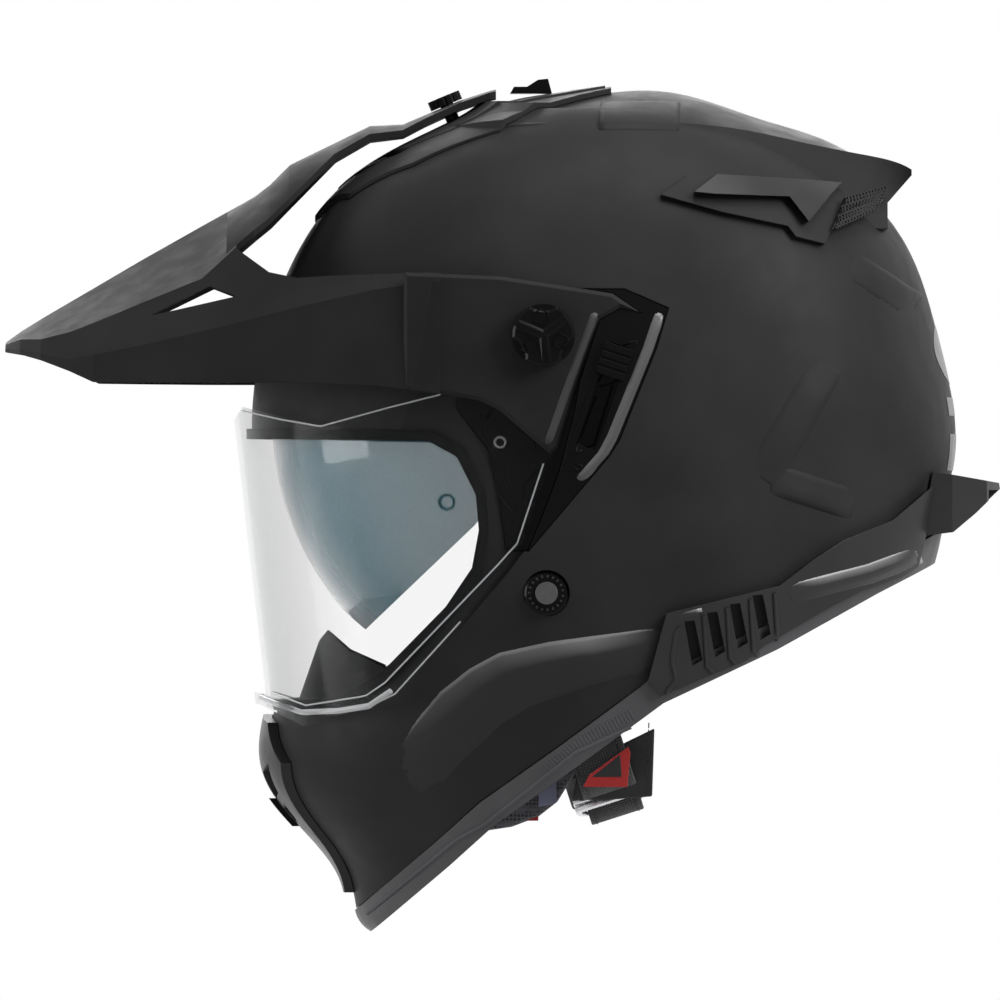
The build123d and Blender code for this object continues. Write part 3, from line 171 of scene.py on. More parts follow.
class Finish:
    """A material under construction: its tree, its shader and the object's own coordinates."""

    def __init__(self, name, colour, roughness, specular=0.5):
        self.material = bpy.data.materials.new(name)
        self.material.use_nodes = True
        self.tree = self.material.node_tree
        self.shader = self.tree.nodes["Principled BSDF"]
        self.give({"Base Color": (*colour, 1), "Roughness": roughness, "Specular IOR Level": specular})
        self.place = self.node("ShaderNodeTexCoord").outputs["Object"]
        self.normal = None

    def give(self, inputs):
        set_inputs(self.tree, self.shader, inputs)

    def node(self, kind, inputs=None, **settings):
        return add_node(self.tree, kind, inputs, **settings)

    def noise(self, per_metre, detail):
        inputs = {"Vector": self.place, "Scale": per_metre, "Detail": detail}
        return self.node("ShaderNodeTexNoise", inputs).outputs["Fac"]

    def ramp(self, source, low, high, start=0.35, end=0.65):
        """The source spread from low to high; colours or plain numbers."""
        inputs = {"Value": source, "From Min": start, "From Max": end}
        if not isinstance(low, tuple):
            inputs.update({"To Min": low, "To Max": high})
            return self.node("ShaderNodeMapRange", inputs).outputs[0]
        share = self.node("ShaderNodeMapRange", inputs).outputs[0]
        blend = self.node("ShaderNodeMix", {0: share, 6: (*low, 1), 7: (*high, 1)}, data_type="RGBA")
        return blend.outputs[2]

    def colour(self, source):
        self.give({"Base Color": source})

    def sheen(self, noise, low, high):
        """A roughness that wanders from low to high."""
        self.give({"Roughness": self.ramp(self.noise(*noise), low, high)})

    def soft_edges(self, radius):
        self.normal = self.node("ShaderNodeBevel", {"Radius": radius}, samples=EDGE_SAMPLES).outputs[0]
        self.give({"Normal": self.normal})

    def bump(self, source, depth):
        inputs = {"Strength": 1.0, "Distance": depth, "Height": source}
        if self.normal is not None:
            inputs["Normal"] = self.normal
        self.normal = self.node("ShaderNodeBump", inputs).outputs[0]
        self.give({"Normal": self.normal})


def moulded(name, colour, roughness, specular, grain, depth, edge):
    """Moulded or lacquered plastic: fine grain, uneven sheen, rounded edges."""
    look = Finish(name, colour, roughness, specular)
    dark, pale = (tuple(c * share for c in colour) for share in TONE_SHARES)
    look.colour(look.ramp(look.noise(*TONE_NOISE), dark, pale))
    look.sheen(SHEEN_NOISE, roughness - SHEEN_BELOW, roughness + SHEEN_ABOVE)
    look.soft_edges(edge)
    look.bump(look.noise(grain, GRAIN_DETAIL), depth)
    return look.material


def dress(material, *names):
    """Gives CAD nodes their finish."""
    for name in names:
        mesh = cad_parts[name].data
        mesh.materials.clear()
        mesh.materials.append(material)


def pair(name):
    return name + "_left", name + "_right"


shell_lacquer = moulded(
    "shell_lacquer", SHELL_BLACK, roughness=0.44, specular=0.035, grain=2600, depth=0.00002, edge=0.0007
)
dress(shell_lacquer, "outer_shell", "top_vent_cover", *pair("rear_blade"))


# Peak
# A long moulded peak in raw matte black plastic, a little coarser than the shell's lacquer, held
# by two thumb screws and the knurled screw on its tongue.
PEAK_BLACK = (0.017, 0.017, 0.0175)
peak_plastic = moulded(
    "peak_plastic", PEAK_BLACK, roughness=0.5, specular=0.035, grain=1500, depth=0.00004, edge=0.0006
)
dress(peak_plastic, "peak")


# Satin fittings
# The chin vent's cover, rear caps and grilles, skirts and diffuser are mouldings in satin black
# plastic, snapped or taped to the shell, smoother than it and so brighter at their edges.
SATIN_BLACK = (0.018, 0.018, 0.0185)
satin_plastic = moulded(
    "satin_plastic", SATIN_BLACK, roughness=0.34, specular=0.16, grain=1800, depth=0.00002, edge=0.0005
)
dress(satin_plastic, *pair("rear_cap"), *pair("side_skirt"), *pair("rear_grille"))
dress(satin_plastic, "rear_diffuser", "chin_vent_cover")


# Gloss fittings
# Side covers, mechanism plates, knobs, washers and sliders are mouldings in polished black plastic,
# screwed or snapped in place, with hard, narrow highlights and fine handling marks.
GLOSS_BLACK = (0.003, 0.003, 0.0032)
gloss_plastic = moulded(
    "gloss_plastic", GLOSS_BLACK, roughness=0.14, specular=0.05, grain=700, depth=0.000006, edge=0.0004
)
dress(gloss_plastic, *pair("side_cover"), *pair("mechanism_plate"), *pair("peak_knob"), "peak_screw")
dress(gloss_plastic, *pair("sun_visor_pin"), *pair("anchor_washer"))
dress(gloss_plastic, "sun_visor_slider", "top_vent_slider", "chin_vent_slider")


# Rubber
# Eyeport seal and breath guard are soft black rubber with a dull, slightly mottled skin, pushed on
# over the edges that hold them. The rim trim is harder, and its paler grey is a painted reflection
# of the floor below.
RUBBER_BLACK = (0.009, 0.009, 0.0095)
# The trim's paler grey is painted reflection.
TRIM_PAINTED_REFLECTION_GREY = (0.06, 0.06, 0.063)
rubber = moulded("rubber", RUBBER_BLACK, roughness=0.62, specular=0.06, grain=900, depth=0.00006, edge=0.0005)
trim_rubber = moulded(
    "trim_rubber", TRIM_PAINTED_REFLECTION_GREY, roughness=0.48, specular=0.2, grain=900, depth=0.00004, edge=0.0008
)
dress(rubber, "eyeport_seal", "breath_guard")
dress(trim_rubber, "base_trim")


# Visors
# The outer visor is moulded from clear polycarbonate and the sun visor from tinted. Square on both
# can be seen through; at a glance they mirror the room, and their colour turns to a painted pale glare.
CLEAR_TINT = (0.03, 0.034, 0.036)
SMOKE_TINT = (0.01, 0.16, 0.215)
# Painted glare: the pale colour a lens turns to at a glance.
PAINTED_GLARE = (0.8, 0.81, 0.82)
LENS_ROUGHNESS = 0.04
LENS_SHEEN = (0.06, 0.08)
LENS_WAVES = (12, 1)
SCUFF_DETAIL = 4
LENS_DEPTH = 0.000008


def lens_plastic(name, tint, square_on, glancing, scuffs):
    """See-through plastic, its tint fading into a painted pale glare where it turns away."""
    look = Finish(name, tint, LENS_ROUGHNESS)
    turned = look.node("ShaderNodeLayerWeight", {"Blend": 0.35}).outputs["Facing"]
    look.give({"Alpha": look.ramp(turned, square_on, glancing, start=0.15, end=0.95)})
    look.colour(look.ramp(turned, tint, PAINTED_GLARE, start=0.3, end=0.85))
    look.sheen((scuffs, SCUFF_DETAIL), *LENS_SHEEN)
    look.bump(look.noise(*LENS_WAVES), LENS_DEPTH)
    look.material.surface_render_method = "BLENDED"
    return look.material


clear_lens = lens_plastic("clear_lens", CLEAR_TINT, square_on=0.025, glancing=0.3, scuffs=60)
smoke_lens = lens_plastic("smoke_lens", SMOKE_TINT, square_on=0.38, glancing=0.75, scuffs=60)
dress(clear_lens, "visor", *pair("visor_pin"))
dress(smoke_lens, "sun_visor")


# Rivets and rings
# The two strap rivets, which clamp the webbing to the shell, and the two D-rings sewn into it are
# plated steel, brushed by use.
RIVET_GREY = (0.07, 0.07, 0.072)
RING_GREY = (0.55, 0.55, 0.57)
BRUSHED_NOISE = (420, 5)
BRUSHED_BELOW, BRUSHED_ABOVE = 0.06, 0.1
METAL_EDGE = 0.0003
METAL_GRAIN = (1500, 2)
METAL_DEPTH = 0.00001


def metal(name, colour, roughness):
    look = Finish(name, colour, roughness)
    look.give({"Metallic": 1.0})
    look.sheen(BRUSHED_NOISE, roughness - BRUSHED_BELOW, roughness + BRUSHED_ABOVE)
    look.soft_edges(METAL_EDGE)
    look.bump(look.noise(*METAL_GRAIN), METAL_DEPTH)
    return look.material


rivet_steel = metal("rivet_steel", RIVET_GREY, roughness=0.36)
ring_steel = metal("ring_steel", RING_GREY, roughness=0.24)
dress(rivet_steel, *pair("anchor_rivet"))
dress(ring_steel, "d_ring_inner", "d_ring_outer")


# Liner foam
# The impact liner is moulded from black expanded foam and pressed into the shell: fused beads, dull
# and slightly sparkling.
FOAM_BLACK = (0.018, 0.018, 0.019)
BEAD_PALE = (0.028, 0.028, 0.029)
BEAD_DARK = (0.012, 0.012, 0.013)
BEADS_PER_METRE = 330
BEAD_DEPTH = 0.0004
foam = Finish("liner_foam", FOAM_BLACK, roughness=0.85, specular=0.2)
cells = foam.node("ShaderNodeTexVoronoi", {"Vector": foam.place, "Scale": BEADS_PER_METRE})
foam.colour(foam.ramp(cells.outputs["Distance"], BEAD_PALE, BEAD_DARK, start=0.1, end=0.6))
foam.bump(cells.outputs["Distance"], -BEAD_DEPTH)
dress(foam.material, "crown_foam", "chin_foam")


# Pads
# Crown lining, cheek pads and neck roll are foam in a knitted mesh cover, pressed into the liner;
# each is a crowned cushion that swells between its seams.
PAD_GREY = (0.035, 0.035, 0.038)
PAD_PITCH = 0.0022
PADS = {
    "crown_pad": (0.0012, 0.002),
    "cheek_pad_left": (0.0025, 0.004),
    "cheek_pad_right": (0.0025, 0.004),
    "neck_roll": (0.0025, 0.0035),
}
PAD_PRESSURE = 4.0
PUFF_STEPS = 20
VOXEL = 0.005
WELD = 1e-6
KNIT_SHARES = (0.25, 1.7)
KNIT_DEPTH = 0.0005


def mesh_fabric(name, colour, pitch):
    """An open knit: pale threads round dark holes."""
    look = Finish(name, colour, roughness=0.88, specular=0.15)
    inputs = {"Vector": look.place, "Scale": 1 / pitch, "Randomness": 0.15}
    holes = look.node("ShaderNodeTexVoronoi", inputs, feature="DISTANCE_TO_EDGE").outputs["Distance"]
    dark, light = (tuple(c * share for c in colour) for share in KNIT_SHARES)
    look.colour(look.ramp(holes, light, dark, start=0.05, end=0.3))
    look.give({"Sheen Weight": 0.25, "Sheen Roughness": 0.5})
    look.bump(holes, -KNIT_DEPTH)
    return look.material


def evaluated(piece):
    """The piece's mesh with its modifiers or its bevel worked in."""
    return bpy.data.meshes.new_from_object(piece.evaluated_get(bpy.context.evaluated_depsgraph_get()))


def applied(piece):
    mesh = evaluated(piece)
    piece.modifiers.clear()
    piece.data = mesh
    return piece


def reworked(piece, work):
    """The piece with the work done on its faces."""
    built = bmesh.new()
    built.from_mesh(piece.data)
    work(built)
    built.to_mesh(piece.data)
    built.free()
    return piece


def modified(piece, kind, **settings):
    modifier = piece.modifiers.new(kind, kind)
    for key, value in settings.items():
        setattr(modifier, key, value)
    return modifier


def puffed(node, name, inset, cap):
    """A pad grown by air pressure from its CAD solid, no point moving further than the cap."""
    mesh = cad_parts[node].data.copy()
    mesh.materials.clear()
    piece = placed(name, mesh)
    reworked(piece, lambda built: bmesh.ops.remove_doubles(built, verts=built.verts, dist=WELD))
    modified(piece, "DISPLACE", strength=-inset, mid_level=0)
    modified(piece, "REMESH", mode="VOXEL", voxel_size=VOXEL)
    applied(piece)
    start = [v.co.copy() for v in piece.data.vertices]
    cloth = modified(piece, "CLOTH")
    cloth.settings.use_pressure = True
    cloth.settings.uniform_pressure_force = PAD_PRESSURE
    cloth.settings.effector_weights.gravity = 0
    cloth.point_cache.frame_end = PUFF_STEPS
    for step in range(1, PUFF_STEPS + 1):
        bpy.context.scene.frame_set(step)
    applied(piece)
    bpy.context.scene.frame_set(1)
    for vertex, before in zip(piece.data.vertices, start):
        way = vertex.co - before
        if way.length > cap:
            vertex.co = before + way.normalized() * cap
    modified(piece, "SUBSURF", levels=1, render_levels=1)
    applied(piece)
    piece.data.shade_smooth()
    return piece


def finished(piece, material, node=None, body="helmet"):
    """Gives a piece its finish and the body it rides on, and hides the CAD node it stands for."""
    piece.data.materials.clear()
    piece.data.materials.append(material)
    if node:
        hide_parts(node)
    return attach(piece, body)


pad_fabric = mesh_fabric("pad_fabric", PAD_GREY, PAD_PITCH)
for node, (inset, cap) in PADS.items():
    pad = finished(puffed(node, node + "_cushion", inset, cap), pad_fabric, node)


# Chin strap
# Flat woven webbing 24 mm wide, riveted inside the shell at both sides, under the chin through a
# sewn sleeve of padding and the two rings, and back on itself.
STRAP_ANCHOR = Vector((0.02376, 0, -0.04048))
STRAP_LOWEST = Vector((-0.00528, 0, -0.13112))
STRAP_WAY = (STRAP_LOWEST - STRAP_ANCHOR).normalized()
STRAP_SIDE = STRAP_WAY.cross(Vector((0, 1, 0)))
STRAP_WIDTH = 0.024
STRAP_WALL = 0.002
STRAP_FALL = (
    (0.1174, -0.0022), (0.1154, 0.02), (0.1126, 0.04), (0.109, 0.058), (0.1048, 0.076), (0.096, 0.088)
)
LEFT_ROUTE = (*STRAP_FALL, (0.085, 0.0904))
RIGHT_ROUTE = (
    *((-across, down) for across, down in STRAP_FALL),
    (-0.06, 0.0945), (0.0, 0.0955), (0.0396, 0.1008), (0.0642, 0.1032), (0.0763, 0.0849), (0.088, 0.0829),
)
ROUTE_ORDER = 3
ROUTE_STEPS = 8
BAND_RIBS = 6
BAND_EDGE_SHARE = 0.3
STRAP_BLACK = (0.018, 0.018, 0.02)
STRAP_PITCH = 0.0012
WEAVE_DEPTH = 0.0003
WEAVE_SHARES = (0.5, 1.5)
WAVES_AT_SCALE_ONE = 3.2


def curve_through(name, kind, places):
    curve = bpy.data.curves.new(name, "CURVE")
    curve.dimensions = "3D"
    spline = curve.splines.new(kind)
    spline.points.add(len(places) - 1)
    for target, place in zip(spline.points, places):
        target.co = (*place, 1)
    return placed(name + "_line", curve)


def strap_line(route):
    """Places along a strap's smooth route, given as steps (across, down) from its anchor."""
    places = [STRAP_ANCHOR + STRAP_WAY * down + Vector((0, across, 0)) for across, down in route]
    holder = curve_through("strap", "NURBS", places)
    spline = holder.data.splines[0]
    spline.order_u = ROUTE_ORDER
    spline.use_endpoint_u = True
    spline.resolution_u = ROUTE_STEPS
    mesh = evaluated(holder)
    found = [v.co.copy() for v in mesh.vertices]
    bpy.data.objects.remove(holder)
    bpy.data.meshes.remove(mesh)
    return found


def meshed(name, built):
    """The built faces as a piece."""
    mesh = bpy.data.meshes.new(name)
    built.to_mesh(mesh)
    built.free()
    return placed(name, mesh)


def webbing(name, line, width, wall, ribs=BAND_RIBS):
    """A flat band along a strap's line, with a UV map in metres for its weave."""
    built = bmesh.new()
    grid = built.loops.layers.uv.new("weave")
    lengths = [0.0]
    for before, here in zip(line, line[1:]):
        lengths.append(lengths[-1] + (here - before).length)
    shares = [r / ribs * 2 - 1 for r in range(ribs + 1)]
    rows = [[built.verts.new(here + STRAP_SIDE * (share * width / 2)) for share in shares] for here in line]
    for k, (low, high) in enumerate(zip(rows, rows[1:])):
        for r in range(ribs):
            face = built.faces.new((low[r], low[r + 1], high[r + 1], high[r]))
            for loop, (u, v) in zip(face.loops, ((r, k), (r + 1, k), (r + 1, k + 1), (r, k + 1))):
                loop[grid].uv = (u / ribs * width, lengths[v])
    piece = meshed(name, built)
    modified(piece, "SOLIDIFY", thickness=wall, offset=0)
    modified(piece, "BEVEL", width=wall * BAND_EDGE_SHARE, segments=2, limit_method="ANGLE")
    applied(piece)
    piece.data.shade_smooth()
    return piece


def woven(name, colour, pitch):
    """Webbing: warp ribs along the band crossed by a finer weft, from the band's own UV map."""
    look = Finish(name, colour, roughness=0.8, specular=0.2)
    weave = look.node("ShaderNodeUVMap", uv_map="weave").outputs[0]
    inputs = {"Vector": weave, "Scale": 1 / pitch / WAVES_AT_SCALE_ONE, "Distortion": 0.4}
    warp, weft = (look.node("ShaderNodeTexWave", inputs, bands_direction=way).outputs["Fac"] for way in "XY")
    threads = look.node("ShaderNodeMath", {0: warp, 1: weft}, operation="MULTIPLY").outputs[0]
    dark, light = (tuple(c * share for c in colour) for share in WEAVE_SHARES)
    look.colour(look.ramp(threads, dark, light, start=0, end=1))
    look.give({"Sheen Weight": 0.2})
    look.bump(threads, WEAVE_DEPTH)
    return look.material


strap_webbing = woven("strap_webbing", STRAP_BLACK, STRAP_PITCH)
strap_lines = {"left": strap_line(LEFT_ROUTE), "right": strap_line(RIGHT_ROUTE)}
for word, line in strap_lines.items():
    band = webbing("strap_" + word + "_band", line, STRAP_WIDTH, STRAP_WALL)
    finished(band, strap_webbing, "strap_" + word)


# Body lines
# The shell is moulded with soft creases: a ledge along the cheek, a V behind it, a shoulder under the
# spoiler and a long crown line. Each is a shallow wedge of the lacquer that rises and drops off; the
# cheek ledge's face that turns up carries a painted highlight.
PIXEL = 0.00044
PIXEL_MIDDLE = (600, 500)
BODY_LINES = {
    "cheek_ledge": dict(
        pixels=(
            (404, 788), (428, 750), (455, 716), (484, 691), (512, 674), (560, 661), (630, 648), (668, 640)
        ),
        run=0.011, drop=0.008, height=0.0032, flare=1.0,
    ),
    "rear_v_upper": dict(pixels=((836, 368), (800, 430), (765, 487)), run=0.014, drop=0.003, height=0.0016),
    "rear_v_lower": dict(
        pixels=((765, 487), (805, 500), (850, 514)), run=-0.012, drop=0.003, height=0.0016
    ),
    "shoulder": dict(
        pixels=((851, 259), (882, 278), (905, 293), (927, 302)), run=0.011, drop=0.003, height=0.0014
    ),
    "crown_line": dict(
        pixels=((503, 128), (626, 126), (691, 127), (760, 136), (848, 155)),
        run=-0.014, drop=0.003, height=0.0012,
    ),
}
CREASE_RUN_SHARES = ((1.0, 0.0), (0.7, 0.22), (0.35, 0.65), (0.0, 1.0))
CREASE_DROP_SHARES = ((0.4, 0.86), (0.8, 0.38), (1.0, 0.0))
SIDES = (("left", 1), ("right", -1))
LINE_STEP = 0.003
SUNK = -0.00012
ROOT = 0.001
CAST_FROM = 0.3
LEDGE_PAINTED_HIGHLIGHT = (0.16, 0.16, 0.162)
# How far the normal turns up where the painted highlight starts and where it is full.
PAINTED_HIGHLIGHT_START, PAINTED_HIGHLIGHT_END = -0.12, 0.42
LACQUER_GRAIN = (2600, 2)
LACQUER_DEPTH = 0.00002


def at_pixel(across, down):
    """Where a pixel of the photograph lies in the helmet's side plane, as (x, z) in metres."""
    return (PIXEL_MIDDLE[0] - across) * PIXEL, (PIXEL_MIDDLE[1] - down) * PIXEL


def surface_of(*nodes):
    """The CAD nodes' faces, to lay pieces on."""
    corners, faces = [], []
    for node in nodes:
        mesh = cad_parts[node].data
        start = len(corners)
        corners += [v.co.copy() for v in mesh.vertices]
        faces += [[start + k for k in face.vertices] for face in mesh.polygons]
    return BVHTree.FromPolygons(corners, faces)


def cast(surface, x, z, side):
    """Where a side-on look at (x, z) meets the surface, and the way out of it there."""
    place, normal, _, _ = surface.ray_cast(Vector((x, side * CAST_FROM, z)), Vector((0, -side, 0)))
    if place is None:
        return None, None
    return place, normal if normal.y * side > 0 else -normal


def divided(path):
    """Points along a broken line at about the line step, its corners kept."""
    found = [Vector(path[0])]
    for a, b in zip(path, path[1:]):
        a, b = Vector(a), Vector(b)
        count = max(1, round((b - a).length / LINE_STEP))
        found += [a.lerp(b, k / count) for k in range(1, count + 1)]
    return found


def outward(piece):
    return reworked(piece, lambda built: bmesh.ops.recalc_face_normals(built, faces=built.faces))


def crease(name, side, surface, pixels, run, drop, height, flare=0.0, ends=4.0):
    """A rounded ridge on the surface: it rises over the run, crests along the pixels and drops off.
    Flare widens and flattens its start, and both ends fade over one part in this many."""
    path = [at_pixel(*pixel) for pixel in pixels]
    line = divided(path)
    way = Vector(path[-1]) - Vector(path[0])
    across = Vector((-way.y, way.x)).normalized() * (1 if run > 0 else -1)
    section = [(abs(run) * reach, rise) for reach, rise in CREASE_RUN_SHARES]
    section += [(-drop * reach, rise) for reach, rise in CREASE_DROP_SHARES]
    corners = []
    for k, here in enumerate(line):
        share = k / (len(line) - 1)
        fade = min(1.0, ends * share / (1 + 2 * flare), ends * (1 - share))
        spread = 1 + flare * (1 - share)
        spots = [cast(surface, *(here + across * offset * spread), side) for offset, _ in section]
        if any(place is None for place, _ in spots):
            if corners:
                break
            continue
        for (place, normal), (_, rise) in zip(spots, section):
            corners.append(place + normal * (SUNK + (height - SUNK) * rise * fade))
        for place, normal in reversed(spots):
            corners.append(place - normal * ROOT)
    ring = 2 * len(section)
    last = len(corners) - ring
    faces = []
    for start in range(0, last, ring):
        for r in range(ring):
            a, b = start + r, start + (r + 1) % ring
            faces.append((a, b, b + ring, a + ring))
    faces += [tuple(range(ring)), tuple(range(last, last + ring))]
    ridge = outward(mesh_piece(name, corners, faces))
    ridge.data.shade_smooth()
    return ridge


def painted_highlight_finish(name, colour, painted_highlight, roughness, specular):
    """A finish with a painted highlight: its colour grows paler where a ridge turns up to the light."""
    look = Finish(name, colour, roughness, specular)
    normal = look.node("ShaderNodeNewGeometry").outputs["Normal"]
    up = look.node("ShaderNodeSeparateXYZ", {0: normal}).outputs["Z"]
    look.colour(look.ramp(up, colour, painted_highlight, PAINTED_HIGHLIGHT_START, PAINTED_HIGHLIGHT_END))
    look.sheen(SHEEN_NOISE, roughness - SHEEN_BELOW, roughness + SHEEN_ABOVE)
    look.bump(look.noise(*LACQUER_GRAIN), LACQUER_DEPTH)
    return look.material


# The cheek ledge's lacquer carries a painted highlight, paler where its face turns up.
ledge_lacquer_painted_highlight = painted_highlight_finish("ledge_lacquer_painted_highlight", SHELL_BLACK, LEDGE_PAINTED_HIGHLIGHT, roughness=0.42, specular=0.1)
shell_surface = surface_of("outer_shell")
for name, line in BODY_LINES.items():
    lacquer = ledge_lacquer_painted_highlight if name == "cheek_ledge" else shell_lacquer
    for word, side in SIDES:
        finished(crease(f"{name}_{word}", side, shell_surface, **line), lacquer)


# Strap stitches
# The straps are sewn along both edges with black thread. Whatever repeats on the helmet is stamped
# as these are: a small mesh at a steady pitch along a line, with its top away from the surface.
STITCH_LENGTH = 0.0024
STITCH_PITCH = 0.0033
STITCH_INSET = 0.0025
THREAD = 0.0005
THREAD_BLACK = (0.03, 0.03, 0.033)
THREAD_TWIST = 0.0004
BEAD_LIFT_SHARE = 0.3
BEAD_EDGE_SHARE = 0.35


def stamping():
    """The tree that sets a stamp along a line; its line, pitch, stamp and finish are inputs."""
    tree = bpy.data.node_groups.new("stamps_along_a_line", "GeometryNodeTree")
    for name, kind in (("Line", "Geometry"), ("Pitch", "Float"), ("Stamp", "Object"), ("Finish", "Material")):
        tree.interface.new_socket(name, in_out="INPUT", socket_type="NodeSocket" + kind)
    tree.interface.new_socket("Stamps", in_out="OUTPUT", socket_type="NodeSocketGeometry")
    given = add_node(tree, "NodeGroupInput").outputs
    curve = add_node(tree, "GeometryNodeMeshToCurve", {"Mesh": given["Line"]}).outputs[0]
    inputs = {"Curve": curve, "Length": given["Pitch"]}
    points = add_node(tree, "GeometryNodeResampleCurve", inputs, mode="LENGTH").outputs[0]
    out = add_node(tree, "GeometryNodeInputNamedAttribute", {"Name": "out"}, data_type="FLOAT_VECTOR")
    inputs = {"Vector": out.outputs["Attribute"]}
    rise = add_node(tree, "FunctionNodeAlignRotationToVector", inputs, axis="Z").outputs[0]
    inputs = {"Rotation": rise, "Vector": add_node(tree, "GeometryNodeInputTangent").outputs[0]}
    turn = add_node(tree, "FunctionNodeAlignRotationToVector", inputs, axis="X", pivot_axis="Z").outputs[0]
    stamp = add_node(tree, "GeometryNodeObjectInfo", {"Object": given["Stamp"]}, transform_space="ORIGINAL")
    inputs = {"Points": points, "Instance": stamp.outputs["Geometry"], "Rotation": turn}
    stamps = add_node(tree, "GeometryNodeInstanceOnPoints", inputs).outputs[0]
    solid = add_node(tree, "GeometryNodeRealizeInstances", {0: stamps}).outputs[0]
    paint = add_node(tree, "GeometryNodeSetMaterial", {"Geometry": solid, "Material": given["Finish"]})
    add_node(tree, "NodeGroupOutput", {0: paint.outputs[0]})
    return tree


def stamped(name, lines, pitch, stamp, material):
    """Finished stamps along lines, each a list of (place, way out)."""
    mesh = bpy.data.meshes.new(name)
    corners, edges, outs = [], [], []
    for line in lines:
        start = len(corners)
        corners += [tuple(place) for place, _ in line]
        outs += [c for _, out in line for c in out]
        edges += [(start + k, start + k + 1) for k in range(len(line) - 1)]
    mesh.from_pydata(corners, edges, [])
    mesh.attributes.new("out", "FLOAT_VECTOR", "POINT").data.foreach_set("vector", outs)
    piece = placed(name, mesh)
    modifier = modified(piece, "NODES", node_group=stamp_tree)
    ids = {s.name: s.identifier for s in stamp_tree.interface.items_tree if s.in_out == "INPUT"}
    modifier[ids["Pitch"]] = pitch
    modifier[ids["Stamp"]] = stamp
    modifier[ids["Finish"]] = material
    finished(applied(piece), material)


def stamp_of(name, built):
    """The built faces as a hidden mesh to stamp with."""
    stamp = meshed(name, built)
    stamp.hide_render = True
    return stamp


def bead(name, length, width, height):
    """A small rounded bar, long along X, that lies on its flat side."""
    built = bmesh.new()
    bmesh.ops.create_cube(built, size=1.0)
    bmesh.ops.scale(built, verts=built.verts, vec=(length, width, height))
    bmesh.ops.translate(built, verts=built.verts, vec=(0, 0, height * BEAD_LIFT_SHARE))
    top = [e for e in built.edges if all(v.co.z > 0 for v in e.verts)]
    rounding = min(width, height) * BEAD_EDGE_SHARE
    bmesh.ops.bevel(built, geom=top, offset=rounding, segments=1, affect="EDGES")
    return stamp_of(name, built)


def strap_rows(line):
    """Two rows of places along a strap's edges, on its outer face."""
    rows = []
    for side in (-1, 1):
        row = []
        for k, here in enumerate(line):
            ahead = (line[min(k + 1, len(line) - 1)] - line[max(k - 1, 0)]).normalized()
            out = ahead.cross(STRAP_SIDE).normalized()
            if out.dot(here) < 0:
                out = -out
            beside = here + STRAP_SIDE * side * (STRAP_WIDTH / 2 - STITCH_INSET)
            row.append((beside + out * (STRAP_WALL / 2), out))
        rows.append(row)
    return rows


stamp_tree = stamping()
thread = woven("thread", THREAD_BLACK, THREAD_TWIST)
stitch = bead("stitch", STITCH_LENGTH, THREAD, THREAD)
seams = [row for line in strap_lines.values() for row in strap_rows(line)]
stamped("strap_stitches", seams, STITCH_PITCH, stitch, thread)


# Rim binding
# Over the cheeks the rim carries a strip of ribbed dark grey fabric, glued on and edged with a
# smooth bead of piping.
BINDING_LINE = ((545, 768), (575, 742), (630, 712))
BINDING_GREY = (0.075, 0.075, 0.08)
RIB_PITCH = 0.0016
RIB_SIZE = (0.0008, 0.005, 0.0002)
PIPING_LINE = ((368, 912), (458, 836), (484, 822), (574, 750), (648, 716))
PIPING_RADIUS = 0.0009
CORD_ROUNDING = 2


def resting(surface, spots, side):
    """Where side-on looks at the spots meet the surface, each place with the way out of it."""
    found = [cast(surface, spot.x, spot.y, side) for spot in spots]
    return [(place, out) for place, out in found if place is not None]


def laid(surface, pixels, side):
    """Places on the surface along a line of the photograph."""
    return resting(surface, divided([at_pixel(*pixel) for pixel in pixels]), side)


def cord_of(name, places, radius, closed=False):
    """A thin round bead through the places."""
    holder = curve_through(name, "POLY", places)
    holder.data.bevel_depth = radius
    holder.data.bevel_resolution = CORD_ROUNDING
    holder.data.use_fill_caps = True
    holder.data.splines[0].use_cyclic_u = closed
    mesh = evaluated(holder)
    bpy.data.objects.remove(holder)
    mesh.shade_smooth()
    return outward(placed(name, mesh))


def joined(name, pieces):
    """Several pieces made one."""
    built = bmesh.new()
    for piece in pieces:
        built.from_mesh(piece.data)
        bpy.data.objects.remove(piece)
    whole = meshed(name, built)
    whole.data.shade_smooth()
    return whole


def beads(name, surface, lines, side, radius):
    """Beads on the surface along several lines of the photograph, as one piece."""
    found = []
    for k, pixels in enumerate(lines):
        places = [place for place, _ in laid(surface, pixels, side)]
        if len(places) > 1:
            found.append(cord_of(f"{name}_{k}", places, radius))
    return joined(name, found)


binding_fabric = moulded(
    "binding_fabric", BINDING_GREY, roughness=0.6, specular=0.1, grain=1800, depth=0.00005, edge=0.0002
)
rim_surface = surface_of("base_trim")
rib = bead("rib", *RIB_SIZE)
for word, side in SIDES:
    binding = [laid(rim_surface, BINDING_LINE, side)]
    stamped("rim_ribs_" + word, binding, RIB_PITCH, rib, binding_fabric)
    edge = beads("rim_piping_" + word, rim_surface, [PIPING_LINE], side, PIPING_RADIUS)
    finished(edge, binding_fabric)


